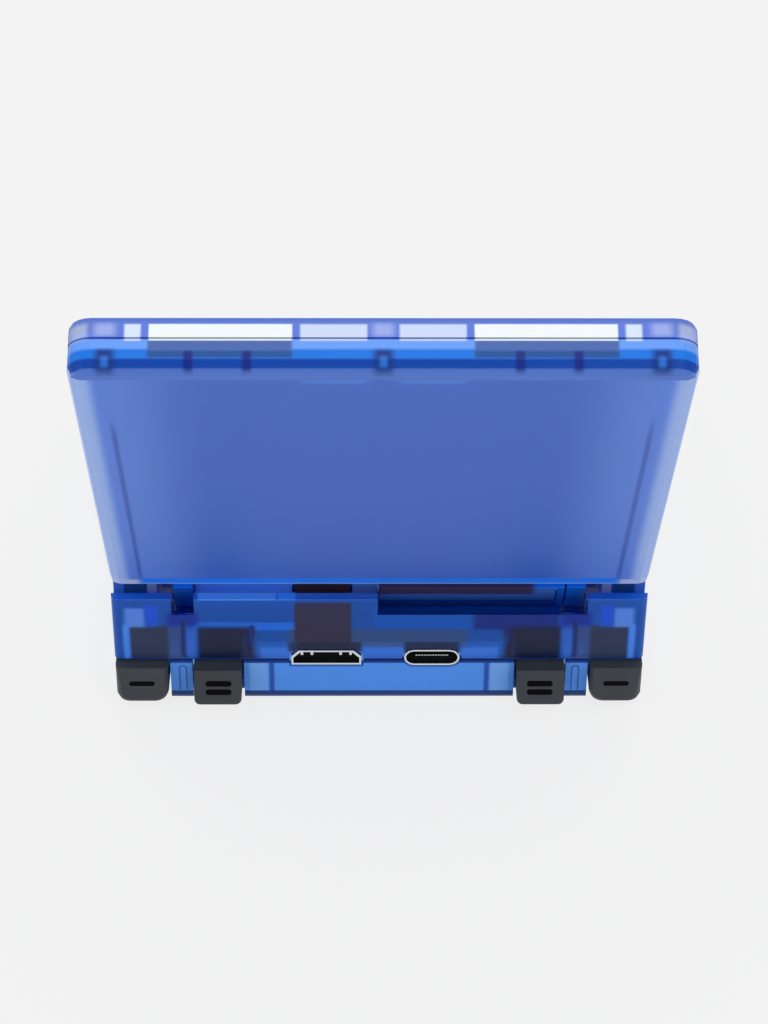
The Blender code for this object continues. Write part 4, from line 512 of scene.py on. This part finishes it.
# Adds a block from its low to its high corner, in mm
def addBlock(bm, low, high):
    middle = Matrix.Translation([(a + b) / 2 * mm for a, b in zip(low, high)])
    size = Matrix.Diagonal([(b - a) * mm for a, b in zip(low, high)] + [1.0])
    bmesh.ops.create_cube(bm, size=1.0, matrix=middle @ size)


# The surface of a CAD piece, for laying thin marks on it
def surfaceOf(name):
    shape = bmesh.new()
    shape.from_mesh(nodes[name].data)
    surface = BVHTree.FromBMesh(shape)
    shape.free()
    return surface


# Adds a point that stands proud, in mm, of the place where a ray meets the surface
def addLaid(bm, surface, start, direction, proud):
    spot, normal = surface.ray_cast(start, direction)[:2]
    return bm.verts.new(spot + normal * proud * mm)


# Joins rows of points into strips of faces
def joinRows(bm, rows):
    for first, second in zip(rows, rows[1:]):
        for k in range(len(first) - 1):
            bm.faces.new((first[k], first[k + 1], second[k + 1], second[k]))


# Sockets: the black moulding in each mouth, with its contacts or its spring tabs
socketLook = {
    "skin": 0.34, "setBack": 0.42, "thick": 0.12, "chamfer": 1.1, "roundSteps": 12,
    "tabs": (-3.9, -2.3, 2.3, 3.9), "tabWide": 0.22, "tabDrop": 0.62, "tabReach": 0.36,
    "tabRise": 0.02,
    "tongueInset": 1.2, "tongueLow": -0.32, "tongueHigh": 0.38, "tongueReach": 0.3,
    "contacts": 12, "contactInset": 1.45, "contactShare": (0.12, 0.88),
    "contactReach": (0.26, 0.34), "contactHeight": (0.34, 0.52), "brokenEdge": 0.04}
for name, inward in (("video_socket", -1), ("data_socket_rear", -1), ("data_socket_front", 1)):
    low, high = [[v / mm for v in corner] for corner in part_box(name)]
    face = high[1] if inward < 0 else low[1]
    x0, x1 = low[0] + socketLook["skin"], high[0] - socketLook["skin"]
    z0, z1 = low[2] + socketLook["skin"], high[2] - socketLook["skin"]
    middle, level = (x0 + x1) / 2, (z0 + z1) / 2
    near = face + inward * socketLook["setBack"]
    moulding, contacts = bmesh.new(), bmesh.new()
    if name == "video_socket":
        cut = socketLook["chamfer"]
        outline = [(x0, z0), (x1, z0), (x1, z1 - cut), (x1 - cut, z1), (x0 + cut, z1), (x0, z1 - cut)]
        for tab in socketLook["tabs"]:
            wide = socketLook["tabWide"]
            tip = near - inward * socketLook["tabReach"]
            addBlock(contacts, (middle + tab - wide, near, z1 - socketLook["tabDrop"]),
                     (middle + tab + wide, tip, z1 + socketLook["tabRise"]))
    else:
        radius = (z1 - z0) / 2
        outline = []
        for side, end in ((1, x1 - radius), (-1, x0 + radius)):
            for step in range(socketLook["roundSteps"] + 1):
                angle = math.pi * (step / socketLook["roundSteps"] - 0.5)
                outline.append((end + side * radius * math.cos(angle),
                                level + side * radius * math.sin(angle)))
        pitch = (x1 - x0 - 2 * socketLook["contactInset"]) / socketLook["contacts"]
        for step in range(socketLook["contacts"]):
            left = x0 + socketLook["contactInset"] + step * pitch
            ends = zip(socketLook["contactShare"], socketLook["contactReach"], socketLook["contactHeight"])
            addBlock(contacts, *[(left + pitch * share, near - inward * out, level + up)
                                 for share, out, up in ends])
    addDrawn(moulding, outline, near, near + inward * socketLook["thick"])
    if name != "video_socket":
        addBlock(moulding, (x0 + socketLook["tongueInset"], near, level + socketLook["tongueLow"]),
                 (x1 - socketLook["tongueInset"], near - inward * socketLook["tongueReach"],
                  level + socketLook["tongueHigh"]))
    makePiece(name + "_moulding", moulding, "mouth", "base")
    makePiece(name + "_contacts", contacts, "steel", "base", socketLook["brokenEdge"])
print("sockets fitted")

# Shoulder buttons: plain dark bars, one on each outer button and two on each inner one
# Rays that lay marks on the rear start behind the part, in metres, and run forward
behind = 0.06
forward = Vector((0.0, -1.0, 0.0))
barLook = {
    "long": 4.2, "wide": 0.42, "proud": 0.02, "steps": 24, "tip": 0.01,
    "outerRows": (5.0,), "innerRows": (4.5, 5.8)}
for name in wears["key"]:
    surface = surfaceOf(name)
    low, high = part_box(name)
    centre = (low[0] + high[0]) / 2 / mm
    bm = bmesh.new()
    for height in barLook["outerRows"] if "outer" in name else barLook["innerRows"]:
        rows = []
        for step in range(barLook["steps"] + 1):
            offset = (step / barLook["steps"] - 0.5) * barLook["long"]
            past = max(0.0, abs(offset) - barLook["long"] / 2 + barLook["wide"])
            half = math.sqrt(max(0.0, barLook["wide"] ** 2 - past ** 2)) + barLook["tip"]
            starts = [Vector(((centre + offset) * mm, behind, (height + k * half) * mm)) for k in (-1, 0, 1)]
            rows.append([addLaid(bm, surface, start, forward, barLook["proud"]) for start in starts])
        joinRows(bm, rows)
    makePiece(name + "_bars", bm, "mouth", name)
print("shoulder bars laid")

# Lower wall: a moulded slot mark on each post between the shoulder buttons
postLook = {
    "across": 31.6, "low": 1.9, "high": 6.4, "half": 0.55, "thick": 0.13, "proud": 0.04, "steps": 12}
surface = surfaceOf("base_lower_shell")
path = [(-1, postLook["low"])]
for step in range(postLook["steps"] + 1):
    angle = math.pi * step / postLook["steps"]
    path.append((-math.cos(angle), postLook["high"] + math.sin(angle) * postLook["half"]))
path.append((1, postLook["low"]))
for side in (1, -1):
    bm = bmesh.new()
    rows = []
    for x, z in path:
        row = []
        for shift in (-postLook["thick"], postLook["thick"]):
            across = side * postLook["across"] + x * (postLook["half"] + shift)
            rise = shift if z > postLook["high"] else 0.0
            start = Vector((across * mm, behind, (z + rise) * mm))
            row.append(addLaid(bm, surface, start, forward, postLook["proud"]))
        rows.append(row)
    joinRows(bm, rows)
    makePiece("post_mark_left" if side < 0 else "post_mark_right", bm, "mark", "base")

# The folded end of the display's film cable, close behind the rear wall
foldLook = {
    "left": 4.9, "right": 13.2, "folds": 5, "steps": 8, "low": 11.7, "high": 15.5, "middle": 40.0,
    "swing": 0.4}
bm = bmesh.new()
rows = []
for step in range(foldLook["folds"] * foldLook["steps"] + 1):
    share = step / (foldLook["folds"] * foldLook["steps"])
    y = foldLook["middle"] + math.sin(share * foldLook["folds"] * math.pi) * foldLook["swing"]
    z = foldLook["low"] + share * (foldLook["high"] - foldLook["low"])
    rows.append([bm.verts.new((x * mm, y * mm, z * mm)) for x in (foldLook["left"], foldLook["right"])])
joinRows(bm, rows)
makePiece("display_cable_folds", bm, "film", "base")

# Parts soldered to the main board: epoxy packages and coils, ceramic capacitors and tin-plated legs
boardParts = {
    "packages": [(-9.5, 23.0, 9.0, 8.0, 0.9), (14.0, 22.5, 6.0, 5.5, 0.8), (3.0, -20.0, 5.0, 5.0, 0.8),
                 (-20.0, -27.0, 6.0, 5.0, 0.8), (-11.5, -19.0, 4.0, 4.0, 0.7), (3.4, 27.5, 3.2, 2.5, 0.6)],
    "coils": [(22.0, 22.6, 3.0, 3.0, 1.4), (26.2, 22.6, 3.0, 3.0, 1.4), (-20.5, -19.0, 3.0, 3.0, 1.3)],
    "capacitors": [(11.4 + 1.1 * k, 29.6, 0.5, 0.9, 0.5) for k in range(9)]
    + [(-9.5 + 1.3 * k, 21.4, 0.5, 0.9, 0.5) for k in range(7)]
    + [(2.6 + 1.2 * k, -22.2, 0.5, 0.9, 0.5) for k in range(6)]
    + [(-24.0, -26.5 + 1.4 * k, 0.9, 0.5, 0.5) for k in range(5)]}
partLook = {"brokenEdge": 0.08}
legLook = {
    "legged": 4, "pitch": 0.8, "start": 0.3, "wide": 0.32, "under": 0.05, "out": 0.5, "tall": 0.2,
    "brokenEdge": 0.03}
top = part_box("main_board")[1][2] / mm
for kind, finish in (("packages", "package"), ("coils", "package"), ("capacitors", "ceramic")):
    bm = bmesh.new()
    for x, y, wide, deep, tall in boardParts[kind]:
        addBlock(bm, (x, y, top), (x + wide, y + deep, top + tall))
    makePiece("board_" + kind, bm, finish, "base", partLook["brokenEdge"])
bm = bmesh.new()
for x, y, wide, deep, tall in boardParts["packages"][:legLook["legged"]]:
    legs = int(wide / legLook["pitch"])
    for k in range(legs):
        left = x + (k + legLook["start"]) * wide / legs
        right = left + legLook["wide"]
        addBlock(bm, (left, y - legLook["out"], top), (right, y + legLook["under"], top + legLook["tall"]))
        addBlock(bm, (left, y + deep - legLook["under"], top),
                 (right, y + deep + legLook["out"], top + legLook["tall"]))
makePiece("board_legs", bm, "steel", "base", legLook["brokenEdge"])
print("board fitted")

# The display's switched-off picture area, laid on the cover glass
displayLook = {
    "across": 34.0, "low": 16.5, "high": 66.5, "corner": 1.6, "steps": 32, "proud": 0.015, "under": 0.03}
surface = surfaceOf("screen_glass")
bm = bmesh.new()
corner = displayLook["corner"]
centre = (displayLook["low"] + displayLook["high"]) / 2
inset = (displayLook["high"] - displayLook["low"]) / 2 - corner
ring = []
for step in range(displayLook["steps"]):
    angle = math.pi * 2 * (step + 0.5) / displayLook["steps"]
    x = math.copysign(displayLook["across"] - corner, math.cos(angle)) + corner * math.cos(angle)
    u = math.copysign(inset, math.sin(angle)) + corner * math.sin(angle)
    start = hingePoint + Vector((x, 0, 0)) * mm + alongLid * (centre + u) * mm
    start -= outOfLid * displayLook["under"]
    spot = surface.ray_cast(start, outOfLid)[0]
    ring.append(bm.verts.new(spot - outOfLid * displayLook["proud"] * mm))
bm.faces.new(ring)
makePiece("display_lit_area", bm, "litArea", "lid")
print("display fitted")

# Camera: the photograph's view, from behind and above and a little to one side
viewLook = {
    "height": 37.2, "away": 420.0, "aim": (0.0, 42.25, 37.97), "aside": 3.4, "asideAt": 357.0,
    "lens": 95.84, "sensor": 36.0, "clip": 0.01}
rise = math.radians(viewLook["height"])
back = Vector((0.0, math.cos(rise), math.sin(rise)))
right = Vector((-1.0, 0.0, 0.0))
up = back.cross(right)
faced = Matrix((right, up, back)).transposed().to_4x4()
yaw = -math.atan2(viewLook["aside"], viewLook["asideAt"])
turn = Matrix.Rotation(yaw, 4, Vector((0.0, -math.sin(rise), math.cos(rise))))
stand = (Vector(viewLook["aim"]) + back * viewLook["away"] + Vector((viewLook["aside"], 0, 0))) * mm
camera = bpy.data.objects.new("camera", bpy.data.cameras.new("camera"))
scene.collection.objects.link(camera)
camera.matrix_world = Matrix.Translation(stand) @ turn @ faced
camera.data.lens = viewLook["lens"]
camera.data.sensor_width = viewLook["sensor"]
camera.data.clip_start = viewLook["clip"]
scene.camera = camera

# Floor: white paper, seen mostly as even white, with a share left that takes the object's shadow
floorLook = {"paper": "#E6E6E6", "white": "#F3F3F3", "evenShare": 0.9, "size": 6.0, "segments": 8}
sheet = bmesh.new()
bmesh.ops.create_grid(
    sheet, x_segments=floorLook["segments"], y_segments=floorLook["segments"], size=floorLook["size"])
floorMesh = bpy.data.meshes.new("floor")
sheet.to_mesh(floorMesh)
sheet.free()
floor = bpy.data.objects.new("floor", floorMesh)
scene.collection.objects.link(floor)
mat, tree, out, coords = newMaterial("paperSweep")
paper = addNode(tree, "ShaderNodeBsdfDiffuse", {"Color": hexColour(floorLook["paper"])})
white = addNode(tree, "ShaderNodeEmission", {"Color": hexColour(floorLook["white"]), "Strength": 1.0})
path = addNode(tree, "ShaderNodeLightPath")
seen = path.outputs["Is Camera Ray"]
for kind in ("Is Glossy Ray", "Is Transmission Ray"):
    seen = addNode(tree, "ShaderNodeMath", {0: seen, 1: path.outputs[kind]}, operation="MAXIMUM").outputs[0]
even = addNode(tree, "ShaderNodeMath", {0: seen, 1: floorLook["evenShare"]}, operation="MULTIPLY")
mix = addNode(tree, "ShaderNodeMixShader", {0: even.outputs[0], 1: paper.outputs[0], 2: white.outputs[0]})
tree.links.new(mix.outputs[0], out.inputs["Surface"])
floorMesh.materials.append(mat)
print("floor laid")

# Light: three large soft lamps over an even pale surround
lightLook = {
    "size": 0.9, "aim": (0.0, 0.04, 0.03), "surround": "#F3F3F3", "surroundStrength": 0.78,
    "lamps": {
        "keyLamp": {"place": (-0.5, 0.55, 1.1), "power": 4.6},
        "fillLamp": {"place": (0.9, 0.3, 0.8), "power": 2.6},
        "topLamp": {"place": (0.0, -0.3, 1.25), "power": 3.6}}}
for name, lampLook in lightLook["lamps"].items():
    lamp = bpy.data.lights.new(name, "AREA")
    lamp.shape = "DISK"
    lamp.size = lightLook["size"]
    lamp.energy = lampLook["power"]
    holder = bpy.data.objects.new(name, lamp)
    scene.collection.objects.link(holder)
    holder.location = lampLook["place"]
    towards = Vector(lightLook["aim"]) - Vector(lampLook["place"])
    holder.rotation_euler = towards.to_track_quat("-Z", "Y").to_euler()
world = bpy.data.worlds.new("studio")
scene.world = world
world.use_nodes = True
world.node_tree.nodes.clear()
surround = addNode(world.node_tree, "ShaderNodeBackground", {
    "Color": hexColour(lightLook["surround"]), "Strength": lightLook["surroundStrength"]})
addNode(world.node_tree, "ShaderNodeOutputWorld", {"Surface": surround.outputs[0]})
scene.view_settings.view_transform = "Standard"
print("lamps hung")
